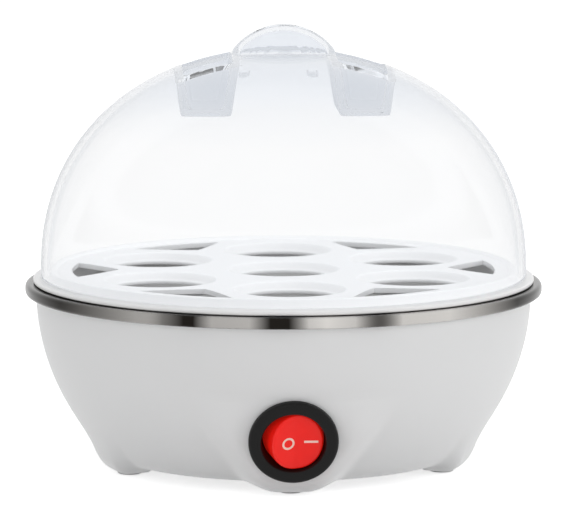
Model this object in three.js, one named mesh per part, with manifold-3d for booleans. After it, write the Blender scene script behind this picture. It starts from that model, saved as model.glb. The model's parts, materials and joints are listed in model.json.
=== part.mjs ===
// Seven-seat electric egg boiler: a lobed plastic base, a steel water pan, a seat tray and a clear domed lid.
// Millimetres, +Z up, origin on the table under the middle of the base. The switch faces the front, -Y.
import * as THREE from 'three';
import { mergeVertices } from 'three/addons/utils/BufferGeometryUtils.js';
import Module from 'manifold-3d';

const wasm = await Module();
wasm.setup();

// Clearances and facets
const fit_gap = 0.3; // between two pieces that touch
const play = 0.5; // between a piece and the wall that locates it
const overrun = 2; // how far a cutting form runs past what it cuts
const weld_distance = 1e-5;
const ring_sides = 36;
const bezel_sides = 24;
const disc_sides = 18;
const oval_sides = 16;
const seat_sides = 14;
const pad_sides = 12;
const small_sides = 8;
const hex_sides = 6;
const curve_steps = 3;
const mitre_share = 0.5; // the least that a bent sheet's corner is taken for
const ellipse_power = 2;
const turn = 2 * Math.PI;
const radians = Math.PI / 180;

// Rim band: the widest piece, from which the other round pieces take their radii
const rim_radius = 88;
const rim_bottom = 59.2;
const rim_gauge = 0.6;
const rim_corner = 0.9;
const rim_top_lip = 4.3;
const rim_bottom_lip = 3;

// Body: an elliptical bowl that swells into five lobes, each ending in a foot
const body_wall = 2.4;
const body_flange = 1.2;
const belly_inset = 3.7; // behind the rim band's face
const belly_height = 60;
const belly_depth = 79;
const bowl_floor = 3.4;
const bowl_corner_height = 9;
const bowl_floor_inset = 1.2; // its edge, inside the foot circle
const lobe_count = 5;
const lobe_top = 35;
const lobe_half_degrees = 36;
const foot_crest_degrees = [4.5, 9]; // half width of a foot's crest, on the table and at the switch's height
const foot_crease_degrees = [12.5, 22]; // and of its crease, on the table and at the lobe's top
const foot_column_shares = [0, 0.17, 0.26, 0.35, 0.53, 0.75, 1];
const panel_crest_degrees = [2, 13.5]; // the same for the front lobe, which carries the switch
const panel_crease_degrees = [16, 29];
const panel_column_shares = [0, 0.2, 0.36, 0.48, 0.6, 0.74, 1];
const foot_circle_share = 0.661; // of the belly's radius
const foot_floor = 0.8;
const foot_swell = 2.9; // of a foot's shoulder beyond the bowl
const foot_swell_power = 6;
const foot_shoulder_height = 7.5;
const foot_land_outer = 3; // its flat outside the foot circle
const foot_land_inner = 4.2; // and inside it
const upper_row_shares = [0.5, 1];
const lower_row_shares = [0.35, 0.66, 0.85, 1];
const corner_row_shares = [0.45, 1];
const inner_row_step = 2; // the inside has every second row
const collar_inset = 5.5; // from the feet's flat to the collar that holds the bottom cover
const collar_top = 9;

// Foot pads
const pad_radius = 4.2;
const pad_height = 2.4;
const pad_seat_wall = 1.8;

// Bottom cover and its screws
const cover_recess = 1;
const cover_thickness = 2;
const cover_screw_count = 3;
const boss_radius = 5.6;
const boss_inset = 5; // from the collar to the screw circle
const boss_height = 8;
const screw_radius = 1.3;
const screw_head_radius = 2.9;
const screw_head_height = 1.8;
const screw_chamfer = 0.9;
const screw_length = 7.5;
const vent_length = 34;
const vent_width = 2.6;
const vent_pitch = 6.5;
const vent_count = 4;
const vent_first = 10;

// Water pan
const pan_gauge = 0.7;
const pan_depth = 19.7;
const pan_taper = 4;
const pan_corner = 4.5;
const pan_corner_shares = [0, 0.5, 1];

// Egg tray
const tray_inset = 2.7; // behind the rim band's face
const tray_flange = 1.6;
const tray_plate = 1.6;
const tray_plate_rise = 2.3; // plate top above the flange top
const tray_lip = 0.9; // lip above the plate
const tray_lip_width = 1.7;
const tray_skirt_depth = 3.1;
const tray_skirt_gap = 1.5; // between the skirt and the pan's wall
const seat_count = 6;
const seat_circle_share = 0.615; // of the lip's radius
const seat_mouth_radius = 19.8;
const seat_hole_radius = 16.2;
const seat_drop = 3.2;
const slot_from_circle = 7; // its point, outside the seats' circle
const slot_from_lip = 7.7;
const slot_half_degrees = 14;
const slot_corner = 2.2;

// Lid
const lid_inset = 5.3; // behind the rim band's face
const lid_wall = 2.2;
const lid_skirt = 2.6;
const lid_rise = 74.6;
const lid_power = 2.15;
const lid_ring_degrees = [0, 14, 28, 42, 56, 69, 80];
const grip_half_length = 17.9; // where the arch springs from the dome
const grip_half_depth = 10.5;
const grip_arch = 9.3;
const grip_stand = 8.4; // its top above the dome's
const grip_steps = 5;
const pocket_inner = 20.4;
const pocket_outer = 33;
const pocket_lean = 0.16; // how far its inner wall leans per unit of height
const pocket_half_length = 17;
const pocket_depth = 19;
const pocket_power = 4;
const vent_hole_radius = 2;
const vent_hole_circle = 42;
const vent_hole_spread = 12;

// Heating plate, thermostat and what fastens them under the pan
const plate_share = 0.493; // of the pan's mouth
const plate_thickness = 5;
const bead_radius = 3.4;
const bead_shares = [[-1, 0], [-0.7, -0.7], [0, -1], [0.7, -0.7], [1, 0]];
const stud_radius = 2;
const stud_circle = 14;
const stud_length = 15;
const stud_count = 3;
const nut_radius = 4;
const nut_height = 3.2;
const stat_flange_radius = 8;
const stat_flange = 1.2;
const stat_radius = 6.4;
const stat_height = 12;
const tab_width = 4.8;
const tab_thickness = 0.8;
const tab_length = 6.5;
const stat_tab_offset = 4;
const bracket_thickness = 1;
const bracket_ring = 3.8;
const bracket_arm = 7;
const pin_collar_radius = 2.2;
const pin_collar_length = 7;
const pin_radius = 1.2;
const pin_length = 5;
const pin_socket_depth = 2.4;
const pin_azimuth = 30; // degrees each side of the front
const earth_blade = 9; // from the middle of its stud
const fuse_radius = 1.9;
const fuse_length = 11;
const fuse_from_bead = 8.5;
const fuse_azimuth = 60; // degrees from the stud at the back

// Terminal block
const block_pitch = 5.6;
const block_poles = [-1.5, -0.5, 0.5, 1.5]; // lamp, live, earth, return
const block_end_wall = 1;
const block_depth = 12;
const block_height = 9;
const block_clearance = 5.4; // to the boss behind it
const block_hole_radius = 1.7;
const block_rib = 1.5;
const block_rib_height = 5;

// Switch, in its own frame: +Z out of the panel, +Y up along it
const panel_proud = 1.75; // of the bowl, at the switch
const panel_height = 20.6;
const panel_tilt = 18.5;
const panel_shoulder_height = 6.2;
const bezel_radius = 14.9;
const bezel_height = 2.6;
const bezel_edge = 1;
const barrel_radius = 12.3;
const barrel_wall = 1.7;
const barrel_floor = 1.6;
const wing_reach = 1.3;
const wing_length = 7;
const wing_width = 6;
const rocker_pivot_depth = 4.4;
const rocker_crest = 6; // from the pivot to the middle of its face
const rocker_skirt = 2.5;
const rocker_boss = 4.4;
const rocker_clearance = 2.1; // from its boss to the blades' tips
const rocker_boss_radius = 3;
const rocker_tip_radius = 1.4;
const rocker_tilt = 11;
const rocker_pin_radius = 1.4;
const rocker_pin_bite = 1; // how far a pin reaches into the barrel's wall
const blade_pitch = 6.5;
const blade_inside = 3.4;
const blade_outside = 8;
const lamp_radius = 2;
const lamp_length = 6;
const lamp_side = 3.4;
const lamp_up = 6;

// Cord gland in the rear wall
const gland_height = 22;
const gland_flange_radius = 7;
const gland_flange = 2;
const gland_neck_radius = 5;
const gland_bore_radius = 3.4;
const gland_seat_radius = 8.6;
const gland_seat_high = 0.8; // flat seat outside the wall
const gland_seat_low = 1.8; // and inside it

// Wiring
const wire_radius = 1.1;
const wire_sides = 6;
const wire_steps = 6;
const wire_lead = 3.5;
const wire_droop = 9; // of the two that run along the floor

// Heights and radii that follow
const belly_radius = rim_radius - belly_inset;
const foot_radius = belly_radius * foot_circle_share;
const foot_inner_radius = foot_radius - foot_land_inner;
const bowl_floor_edge = foot_radius - bowl_floor_inset;
const collar_radius = foot_inner_radius - collar_inset;
const boss_circle = collar_radius - boss_inset;
const panel_distance = bowlRadius(panel_height) + panel_proud;
const flange_bottom = rim_bottom + rim_gauge + fit_gap;
const flange_top = flange_bottom + body_flange;
const pan_flange_bottom = flange_top + fit_gap;
const pan_flange_top = pan_flange_bottom + pan_gauge;
const rim_top = pan_flange_top + fit_gap + rim_gauge;
const flange_radius = rim_radius - rim_gauge - rim_corner;
const pan_mouth_radius = belly_radius - body_wall - play - fit_gap;
const pan_floor_top = pan_flange_top - pan_depth;
const pan_floor_bottom = pan_floor_top - pan_gauge;
const tray_flange_radius = rim_radius - tray_inset;
const tray_bottom = rim_top + fit_gap;
const tray_flange_top = tray_bottom + tray_flange;
const tray_top = tray_flange_top + tray_plate_rise;
const lid_radius = rim_radius - lid_inset;
const lid_inner_radius = lid_radius - lid_wall;
const tray_lip_radius = lid_inner_radius - play - fit_gap;
const seat_circle = tray_lip_radius * seat_circle_share;
const slot_inner_radius = seat_circle + slot_from_circle;
const slot_outer_radius = tray_lip_radius - slot_from_lip;
const lid_bottom = tray_flange_top + fit_gap;
const lid_shoulder = lid_bottom + lid_skirt;
const lid_apex = lid_shoulder + lid_rise;
const grip_top = lid_apex + grip_stand;
const grip_radius = (grip_half_length ** 2 + grip_arch ** 2) / (2 * grip_arch);
const plate_radius = pan_mouth_radius * plate_share;
const bead_circle = (stud_circle + plate_radius) / 2;
const fuse_circle = bead_circle - fuse_from_bead;
const plate_top = pan_floor_bottom - fit_gap;
const plate_bottom = plate_top - plate_thickness;
const pin_top = plate_bottom - bead_radius + pin_socket_depth - fit_gap;
const stat_top = plate_bottom - fit_gap;
const bracket_top = stat_top - stat_flange - fit_gap;
const nut_top = bracket_top - bracket_thickness - fit_gap;
const cover_bottom = bowl_floor + cover_recess;
const cover_top = cover_bottom + cover_thickness;
const boss_bottom = cover_top + fit_gap;
const rocker_depth = rocker_pivot_depth + rocker_skirt + rocker_boss;
const barrel_depth = rocker_depth + rocker_clearance + blade_inside + barrel_floor;
const block_bottom = cover_top + fit_gap;
const block_back = boss_circle - boss_radius - block_clearance;
const block_front = block_back - block_depth;
const block_from_axis = block_back - block_depth / 2;
const block_width = block_poles.length * block_pitch + block_end_wall * 2;

const finishes = {
  white_plastic: { color: 0xe6e7e6, roughness: 0.35, metalness: 0 },
  clear_plastic: { color: 0xdfe8ee, roughness: 0.05, metalness: 0, transparent: true, opacity: 0.3 },
  steel: { color: 0xb9bbbd, roughness: 0.22, metalness: 1 },
  black_plastic: { color: 0x121213, roughness: 0.4, metalness: 0 },
  red_plastic: { color: 0xe02d22, roughness: 0.25, metalness: 0 },
  rubber: { color: 0xd0d2d1, roughness: 0.8, metalness: 0 },
  aluminium: { color: 0xa9abad, roughness: 0.5, metalness: 1 },
  brass: { color: 0xc9a24a, roughness: 0.35, metalness: 1 },
  ceramic: { color: 0xefe9dc, roughness: 0.6, metalness: 0 },
  glass: { color: 0xf1d9c4, roughness: 0.05, metalness: 0 },
  red_wire: { color: 0x9c2a20, roughness: 0.5, metalness: 0 },
  blue_wire: { color: 0x27559c, roughness: 0.5, metalness: 0 },
  green_wire: { color: 0x5c9a2c, roughness: 0.5, metalness: 0 },
};

// Shared vertices are merged, flat triangles dropped, and the faces turned outwards.
function weld(geometry) {
  const bare = geometry.clone();
  for (const name of ['normal', 'uv', 'color']) bare.deleteAttribute(name);
  const merged = mergeVertices(bare, weld_distance);
  const place = merged.getAttribute('position');
  const index = merged.index.array;
  const faces = [];
  const [a, b, c] = [new THREE.Vector3(), new THREE.Vector3(), new THREE.Vector3()];
  let volume = 0;
  for (let i = 0; i < index.length; i += 3) {
    const [p, q, r] = [index[i], index[i + 1], index[i + 2]];
    if (p === q || q === r || r === p) continue;
    faces.push([p, q, r]);
    volume += a.fromBufferAttribute(place, p)
      .dot(b.fromBufferAttribute(place, q).cross(c.fromBufferAttribute(place, r)));
  }
  const turned = volume < 0 ? faces.map(([p, q, r]) => [p, r, q]) : faces;
  merged.setIndex(turned.flat());
  return merged;
}

function solid(geometry) {
  const closed = weld(geometry);
  const vertProperties = new Float32Array(closed.getAttribute('position').array);
  const triVerts = new Uint32Array(closed.index.array);
  return new wasm.Manifold(new wasm.Mesh({ numProp: 3, vertProperties, triVerts }));
}

function surface(body) {
  const mesh = body.getMesh();
  const geometry = new THREE.BufferGeometry();
  geometry.setAttribute('position', new THREE.BufferAttribute(new Float32Array(mesh.vertProperties), 3));
  geometry.setIndex([...mesh.triVerts]);
  return geometry;
}

const joined = (bodies) => bodies.reduce((all, next) => all.add(next));
const cut = (body, tools) => tools.reduce((left, tool) => left.subtract(tool), body);

// A profile of [radius, height] points turned about Z.
function revolve(profile, sides = ring_sides) {
  const points = profile.map(([radius, height]) => new THREE.Vector2(radius, height));
  return new THREE.LatheGeometry(points, sides).rotateX(Math.PI / 2);
}

function revolveRing(profile, sides = ring_sides) {
  return revolve([...profile, profile[0]], sides);
}

function rod(radius, low, high, sides = small_sides) {
  return revolve([[0, low], [radius, low], [radius, high], [0, high]], sides);
}

// A closed outline that follows an open [radius, height] path at half the gauge on both sides.
function sheetOutline(path, gauge) {
  const side = (sign) => path.map((point, i) => {
    const before = path[Math.max(i - 1, 0)];
    const after = path[Math.min(i + 1, path.length - 1)];
    const into = new THREE.Vector2(point[0] - before[0], point[1] - before[1]).normalize();
    const out = new THREE.Vector2(after[0] - point[0], after[1] - point[1]).normalize();
    const along = into.clone().add(out).normalize();
    const widen = 1 / Math.max(along.dot(i ? into : out), mitre_share);
    const step = sign * widen * gauge / 2;
    return [point[0] - along.y * step, point[1] + along.x * step];
  });
  return [...side(1), ...side(-1).reverse()];
}

// A solid through a stack of rings with equal counts, closed by a fan at each end.
function loft(rings) {
  const count = rings[0].length;
  const middle = (ring) => ring.reduce((sum, p) => sum.add(p), new THREE.Vector3()).divideScalar(count);
  const points = [...rings.flat(), middle(rings[0]), middle(rings[rings.length - 1])];
  const faces = [];
  for (let j = 0; j < count; j += 1) {
    const k = (j + 1) % count;
    for (let i = 0; i + 1 < rings.length; i += 1) {
      const [a, b, c, d] = [i * count + j, i * count + k, (i + 1) * count + k, (i + 1) * count + j];
      faces.push(a, b, c, a, c, d);
    }
    const last = (rings.length - 1) * count;
    faces.push(rings.length * count, k, j, rings.length * count + 1, last + j, last + k);
  }
  const geometry = new THREE.BufferGeometry().setFromPoints(points);
  geometry.setIndex(faces);
  return geometry;
}

// A level ring shaped between an ellipse, at power 2, and a rectangle.
function ovalRing(centre, half_x, half_y, height, power, sides) {
  return Array.from({ length: sides }, (_, j) => {
    const angle = turn * (j + 0.5) / sides;
    const [c, s] = [Math.cos(angle), Math.sin(angle)];
    const x = Math.sign(c) * Math.abs(c) ** (2 / power) * half_x;
    const y = Math.sign(s) * Math.abs(s) ** (2 / power) * half_y;
    return new THREE.Vector3(centre + x, y, height);
  });
}

function outline(points) {
  return new THREE.Shape(points.map(([x, y]) => new THREE.Vector2(x, y)));
}

function prism(shape, height) {
  const options = { depth: height, bevelEnabled: false, curveSegments: curve_steps };
  return new THREE.ExtrudeGeometry(shape, options);
}

function block(width, depth, height) {
  return new THREE.BoxGeometry(width, depth, height).translate(0, 0, height / 2);
}

// The same form at equal steps round the axis, the first at the given angle in degrees.
function around(count, first, make) {
  return Array.from({ length: count }, (_, i) => make().rotateZ(first * radians + turn * i / count));
}

const group = new THREE.Group();

function add(name, geometry, finish, parent = group) {
  const shown = weld(geometry).toNonIndexed();
  shown.computeVertexNormals();
  const mesh = new THREE.Mesh(shown, new THREE.MeshStandardMaterial(finishes[finish]));
  mesh.name = name;
  parent.add(mesh);
  return mesh;
}

function bowlRadius(height) {
  return belly_radius * Math.sqrt(1 - ((belly_height - height) / belly_depth) ** 2);
}

function panelDistance(height) {
  return panel_distance + (height - panel_height) * Math.tan(panel_tilt * radians);
}

// A quadratic curve from the wall into the floor, at the given share of its way.
function corner(share, wall, elbow, floor) {
  const [a, b, c] = [(1 - share) ** 2, 2 * share * (1 - share), share ** 2];
  return [a * wall[0] + b * elbow[0] + c * floor[0], a * wall[1] + b * elbow[1] + c * floor[1]];
}

// The three meridians that the body blends: the plain bowl, a foot's crest and the switch panel.
function meridian(kind) {
  const low = { bowl: bowl_corner_height, foot: foot_shoulder_height, panel: panel_shoulder_height }[kind];
  const floor = kind === 'bowl' ? bowl_floor : foot_floor;
  const wallRadius = (height) => {
    if (kind === 'panel') return panelDistance(height);
    const share = (lobe_top - height) / (lobe_top - foot_shoulder_height);
    return bowlRadius(height) + (kind === 'foot' ? foot_swell * share ** foot_swell_power : 0);
  };
  const rows = [[flange_radius, flange_top], [flange_radius, flange_bottom]];
  rows.push([bowlRadius(flange_bottom), flange_bottom]);
  for (const share of upper_row_shares) {
    const height = flange_bottom + (lobe_top - flange_bottom) * share;
    rows.push([share < 1 ? bowlRadius(height) : wallRadius(height), height]);
  }
  for (const share of lower_row_shares) {
    const height = lobe_top + (low - lobe_top) * share;
    rows.push([wallRadius(height), height]);
  }
  const edge = wallRadius(low);
  const slope = (wallRadius(low + body_wall) - edge) / body_wall;
  const elbow = [edge - slope * (low - floor), floor];
  const end = [kind === 'bowl' ? bowl_floor_edge : foot_radius + foot_land_outer, floor];
  for (const share of corner_row_shares) rows.push(corner(share, [edge, low], elbow, end));
  rows.push([foot_inner_radius, floor]);
  return rows;
}

// The same rows moved inwards by the wall, from the foot's flat up to the mouth.
function innerMeridian(rows) {
  const inner = [];
  for (let i = rows.length - 1; i >= 3; i -= inner_row_step) {
    const before = rows[i - 1];
    const after = rows[Math.min(i + 1, rows.length - 1)];
    const along = new THREE.Vector2(after[0] - before[0], after[1] - before[1]).normalize();
    inner.push([rows[i][0] + along.y * body_wall, rows[i][1] - along.x * body_wall]);
  }
  const mouth = bowlRadius(flange_bottom) - body_wall;
  inner.push([mouth, flange_bottom], [mouth, flange_top]);
  return inner;
}

// One at a lobe's crest, falling smoothly to nothing at its crease.
function lobeShare(kind, degrees, height) {
  const [crests, creases] = kind === 'panel'
    ? [panel_crest_degrees, panel_crease_degrees] : [foot_crest_degrees, foot_crease_degrees];
  const widened = ([low, high], top) => low + (high - low) * Math.min(Math.max(height / top, 0), 1);
  const [crest, crease] = [widened(crests, panel_height), widened(creases, lobe_top)];
  const share = Math.min(Math.max((crease - Math.abs(degrees)) / (crease - crest), 0), 1);
  return share * share * (3 - 2 * share);
}

function bodyShell() {
  const collar_outer = collar_radius + body_wall;
  const collar = [
    [collar_outer, bowl_floor], [collar_radius, bowl_floor], [collar_radius, collar_top],
    [collar_outer, collar_top], [collar_outer, bowl_floor + body_wall],
  ];
  const loops = {};
  for (const kind of ['bowl', 'foot', 'panel']) {
    const outer = meridian(kind);
    loops[kind] = [...outer, ...collar, ...innerMeridian(outer)];
  }
  const columns = [];
  for (let lobe = 0; lobe < lobe_count; lobe += 1) {
    const kind = lobe === 0 ? 'panel' : 'foot';
    const crest = loops[kind];
    const spread = lobe_half_degrees * 2 * lobe;
    const shares = kind === 'panel' ? panel_column_shares : foot_column_shares;
    for (const share of [...shares.slice(1, -1).map((s) => -s).reverse(), ...shares]) {
      const degrees = share * lobe_half_degrees;
      const angle = (degrees + spread - 90) * radians;
      columns.push(loops.bowl.map(([radius, height], row) => {
        const flatten = kind === 'panel' && height < lobe_top ? 1 / Math.cos(degrees * radians) : 1;
        const [crest_radius, crest_height] = crest[row];
        const stands = crest_radius > foot_radius ? flatten : 1;
        const weight = lobeShare(kind, degrees, height);
        const r = radius + (crest_radius * stands - radius) * weight;
        const z = height + (crest_height - height) * weight;
        return new THREE.Vector3(r * Math.cos(angle), r * Math.sin(angle), z);
      }));
    }
  }
  const rows = loops.bowl.length;
  const faces = [];
  for (let i = 0; i < columns.length; i += 1) {
    const next = (i + 1) % columns.length;
    for (let j = 0; j < rows; j += 1) {
      const k = (j + 1) % rows;
      const [a, b, c, d] = [i * rows + j, next * rows + j, next * rows + k, i * rows + k];
      faces.push(a, b, c, a, c, d);
    }
  }
  const geometry = new THREE.BufferGeometry().setFromPoints(columns.flat());
  geometry.setIndex(faces);
  return geometry;
}

const switchFrame = new THREE.Matrix4()
  .makeRotationX(Math.PI / 2 + panel_tilt * radians)
  .setPosition(0, -panel_distance, panel_height);

const gland_slope = Math.atan((bowlRadius(gland_height + body_wall) - bowlRadius(gland_height)) / body_wall);
const glandFrame = new THREE.Matrix4()
  .makeRotationX(-Math.PI / 2 - gland_slope)
  .setPosition(0, bowlRadius(gland_height), gland_height);

function footPlaces(make) {
  return around(lobe_count, -90, () => make().translate(foot_radius, 0, 0));
}

function screwPlaces(make) {
  return around(cover_screw_count, 90, () => make().translate(boss_circle, 0, 0));
}

function baseBody() {
  const pad_top = pad_height + fit_gap;
  const seats = footPlaces(() => (
    rod(pad_radius + pad_seat_wall, foot_floor + body_wall / 2, pad_top + body_wall, pad_sides)));
  const bosses = screwPlaces(() => rod(boss_radius, boss_bottom, boss_bottom + boss_height));
  const sockets = footPlaces(() => rod(pad_radius + fit_gap, -overrun, pad_top, pad_sides));
  const pilots = screwPlaces(() => rod(screw_radius + fit_gap, -overrun, boss_bottom + screw_length));
  const barrel = rod(barrel_radius + play, -body_wall - overrun * 2, bezel_height, disc_sides)
    .applyMatrix4(switchFrame);
  const neck_low = -body_wall - gland_seat_low - overrun * 2;
  const neck = rod(gland_neck_radius + fit_gap, neck_low, overrun * 2, oval_sides).applyMatrix4(glandFrame);
  const gland_seat = rod(gland_seat_radius, -body_wall - gland_seat_low, gland_seat_high, oval_sides)
    .applyMatrix4(glandFrame);
  const shell = joined([bodyShell(), ...seats, ...bosses, gland_seat].map(solid));
  return surface(cut(shell, [...sockets, ...pilots, barrel, neck].map(solid)));
}

function bottomCover() {
  const holes = screwPlaces(() => rod(screw_radius + play, -overrun, cover_top + overrun));
  const slots = Array.from({ length: vent_count }, (_, i) => (
    block(vent_length, vent_width, cover_top + overrun).translate(0, -vent_first - i * vent_pitch, 0)));
  const rib = () => block(block_rib, block_depth, block_rib_height + cover_thickness / 2);
  const from_middle = block_width / 2 + fit_gap + block_rib / 2;
  const ribs = [-1, 1].map((side) => (
    rib().translate(side * from_middle, block_from_axis, cover_bottom + cover_thickness / 2)));
  const disc = rod(collar_radius - play, cover_bottom, cover_top, ring_sides);
  return surface(cut(joined([disc, ...ribs].map(solid)), [...holes, ...slots].map(solid)));
}

function screw() {
  const head_top = cover_bottom - fit_gap;
  const head_low = head_top - screw_head_height;
  const tip = boss_bottom + screw_length - fit_gap;
  return revolve([
    [0, head_low], [screw_head_radius - screw_chamfer, head_low],
    [screw_head_radius, head_low + screw_chamfer], [screw_head_radius, head_top],
    [screw_radius, head_top], [screw_radius, tip - screw_radius], [0, tip],
  ], small_sides);
}

function rimBand() {
  const middle = rim_radius - rim_gauge / 2;
  const [low, high] = [rim_bottom + rim_gauge / 2, rim_top - rim_gauge / 2];
  const path = [
    [rim_radius - rim_bottom_lip, low], [middle - rim_corner, low], [middle, low + rim_corner],
    [middle, high - rim_corner], [middle - rim_corner, high], [rim_radius - rim_top_lip, high],
  ];
  return revolveRing(sheetOutline(path, rim_gauge));
}

function waterPan() {
  const half = pan_gauge / 2;
  const mouth = pan_mouth_radius - half;
  const floor = pan_floor_bottom + half;
  const foot = mouth - pan_taper;
  const bend = pan_corner_shares.map((share) => (
    corner(share, [foot - pan_corner, floor], [foot, floor], [foot, floor + pan_corner])));
  const path = [
    [0, floor], ...bend, [mouth, pan_flange_bottom - half],
    [mouth + pan_gauge, pan_flange_bottom + half], [flange_radius, pan_flange_bottom + half],
  ];
  return revolve(sheetOutline(path, pan_gauge));
}

function seatRing(x, y) {
  const low = tray_top - seat_drop;
  const lip = tray_plate / 2;
  return revolveRing([
    [seat_mouth_radius, tray_top], [seat_hole_radius + lip, low + lip], [seat_hole_radius, low - lip],
    [seat_hole_radius + lip, low - lip], [seat_mouth_radius, tray_top - tray_plate],
  ], seat_sides).translate(x, y, 0);
}

// A steam slot between two outer seats: an arc near the rim that narrows towards the middle.
function steamSlot() {
  const half = slot_half_degrees * radians;
  const [s, c] = [Math.sin(half) * slot_outer_radius, Math.cos(half) * slot_outer_radius];
  const shape = new THREE.Shape();
  shape.moveTo(c, -s);
  shape.absarc(0, 0, slot_outer_radius, -half, half);
  shape.lineTo(c - slot_corner, s);
  shape.quadraticCurveTo(slot_inner_radius + slot_corner, slot_corner * 2, slot_inner_radius, 0);
  shape.quadraticCurveTo(slot_inner_radius + slot_corner, -slot_corner * 2, c - slot_corner, -s);
  shape.closePath();
  return prism(shape, tray_plate + overrun * 2).translate(0, 0, tray_top - tray_plate - overrun);
}

function eggTray() {
  const plate_low = tray_top - tray_plate;
  const lip_inner = tray_lip_radius - tray_lip_width;
  const skirt = pan_mouth_radius - pan_gauge - tray_skirt_gap;
  const skirt_low = tray_bottom - tray_skirt_depth;
  const plate = solid(revolve([
    [0, plate_low], [skirt - tray_plate, plate_low], [skirt - tray_plate, skirt_low], [skirt, skirt_low],
    [skirt, tray_bottom], [tray_flange_radius, tray_bottom], [tray_flange_radius, tray_flange_top],
    [tray_lip_radius, tray_flange_top], [tray_lip_radius, tray_top],
    [tray_lip_radius - tray_lip / 2, tray_top + tray_lip], [lip_inner, tray_top + tray_lip],
    [lip_inner - tray_lip, tray_top], [0, tray_top],
  ]));
  const places = [[0, 0]];
  for (let i = 0; i < seat_count; i += 1) {
    const angle = turn * i / seat_count - Math.PI / 2;
    places.push([seat_circle * Math.cos(angle), seat_circle * Math.sin(angle)]);
  }
  const bore = seat_mouth_radius - tray_plate / 2;
  const holes = places.map(([x, y]) => (
    solid(rod(bore, plate_low - overrun, tray_top + overrun, seat_sides).translate(x, y, 0))));
  const slots = around(seat_count, -90 + 180 / seat_count, steamSlot).map(solid);
  const rings = places.map(([x, y]) => solid(seatRing(x, y)));
  return surface(joined([cut(plate, [...holes, ...slots]), ...rings]));
}

// The lid's filled form, drawn inwards by an inset: a superellipse of revolution over a straight skirt.
function lidForm(inset, low) {
  const [radius, rise] = [lid_radius - inset, lid_rise - inset];
  const points = [[0, low], [radius, low]];
  for (const degrees of lid_ring_degrees) {
    const [c, s] = [Math.cos(degrees * radians), Math.sin(degrees * radians)];
    points.push([radius * c ** (2 / lid_power), lid_shoulder + rise * s ** (2 / lid_power)]);
  }
  points.push([0, lid_shoulder + rise]);
  return revolve(points);
}

// The grip: a cap of a ball, narrowed front to back, that stands out of the dome's top.
function gripForm(inset) {
  const radius = grip_radius - inset;
  const centre = grip_top - grip_radius;
  const low = lid_apex - grip_stand;
  const start = Math.asin((low - centre) / radius);
  const points = [[0, low]];
  for (let i = 0; i <= grip_steps; i += 1) {
    const angle = start + (Math.PI / 2 - start) * i / grip_steps;
    points.push([radius * Math.cos(angle), centre + radius * Math.sin(angle)]);
  }
  points[points.length - 1][0] = 0;
  return revolve(points, oval_sides).scale(1, (grip_half_depth - inset) / (grip_half_length - inset), 1);
}

// A finger pocket beside the grip, grown outwards by an inset so that the wall under it keeps its gauge.
function pocketForm(side, inset) {
  const floor = lid_apex - pocket_depth - inset;
  const top = lid_apex + overrun;
  const centre = (height) => side * (pocket_inner + pocket_outer - (height - floor) * pocket_lean) / 2;
  const half = (height) => (pocket_outer - pocket_inner + (height - floor) * pocket_lean) / 2 + inset;
  const rings = [floor, floor + lid_wall, top].map((height, i) => {
    const shrink = i ? 0 : lid_wall / 2;
    const half_y = pocket_half_length + inset - shrink;
    return ovalRing(centre(height), half(height) - shrink, half_y, height, pocket_power, oval_sides);
  });
  return loft(rings);
}

function lidDome() {
  const outer = joined([solid(lidForm(0, lid_bottom)), solid(gripForm(0))]);
  const inner = joined([solid(lidForm(lid_wall, lid_bottom - overrun)), solid(gripForm(lid_wall))]);
  const recess = [-1, 1].map((side) => solid(pocketForm(side, 0)));
  const hollow = [-1, 1].map((side) => solid(pocketForm(side, lid_wall)));
  const vents = [-1, 1].map((side) => solid(rod(vent_hole_radius, lid_shoulder, lid_apex, small_sides)
    .translate(side * vent_hole_spread, vent_hole_circle, 0)));
  return surface(cut(cut(outer, recess).subtract(cut(inner, hollow)), vents));
}

function heatingPlate() {
  const plate = revolve([
    [0, plate_bottom],
    ...bead_shares.map(([x, z]) => [bead_circle + x * bead_radius, plate_bottom + z * bead_radius]),
    [plate_radius, plate_bottom], [plate_radius, plate_top], [0, plate_top],
  ], disc_sides);
  const holes = around(stud_count, 90, () => (
    rod(stud_radius + play, plate_bottom - overrun, plate_top + overrun).translate(stud_circle, 0, 0)));
  const low = plate_bottom - bead_radius;
  const sockets = [-1, 1].map((side) => (
    rod(pin_collar_radius + fit_gap, low - overrun, low + pin_socket_depth)
      .translate(bead_circle, 0, 0).rotateZ((side * pin_azimuth - 90) * radians)));
  return surface(cut(solid(plate), [...holes, ...sockets].map(solid)));
}

function heaterPin() {
  const collar = pin_top - pin_collar_length;
  return revolve([
    [0, collar - pin_length], [pin_radius, collar - pin_length], [pin_radius, collar],
    [pin_collar_radius, collar], [pin_collar_radius, pin_top], [0, pin_top],
  ], small_sides);
}

function thermostat() {
  const low = stat_top - stat_height;
  const can = revolve([
    [0, low], [stat_radius, low], [stat_radius, stat_top - stat_flange],
    [stat_flange_radius, stat_top - stat_flange], [stat_flange_radius, stat_top], [0, stat_top],
  ], disc_sides);
  const tabs = [-1, 1].map((side) => (
    block(tab_thickness, tab_width, tab_length + tab_thickness)
      .translate(side * stat_tab_offset, 0, low - tab_length)));
  return surface(joined([can, ...tabs].map(solid)));
}

function statBracket() {
  const low = bracket_top - bracket_thickness;
  const hole = stat_radius + fit_gap;
  const ring = rod(hole + bracket_ring, low, bracket_top, disc_sides);
  const reach = stud_circle + stud_radius * 2;
  const arms = around(stud_count, 90, () => (
    block(reach, bracket_arm, bracket_thickness).translate(reach / 2, 0, low)));
  const holes = around(stud_count, 90, () => (
    rod(stud_radius + fit_gap, low - overrun, bracket_top + overrun).translate(stud_circle, 0, 0)));
  const opening = rod(hole, low - overrun, bracket_top + overrun, disc_sides);
  return surface(cut(joined([ring, ...arms].map(solid)), [opening, ...holes].map(solid)));
}

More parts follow.
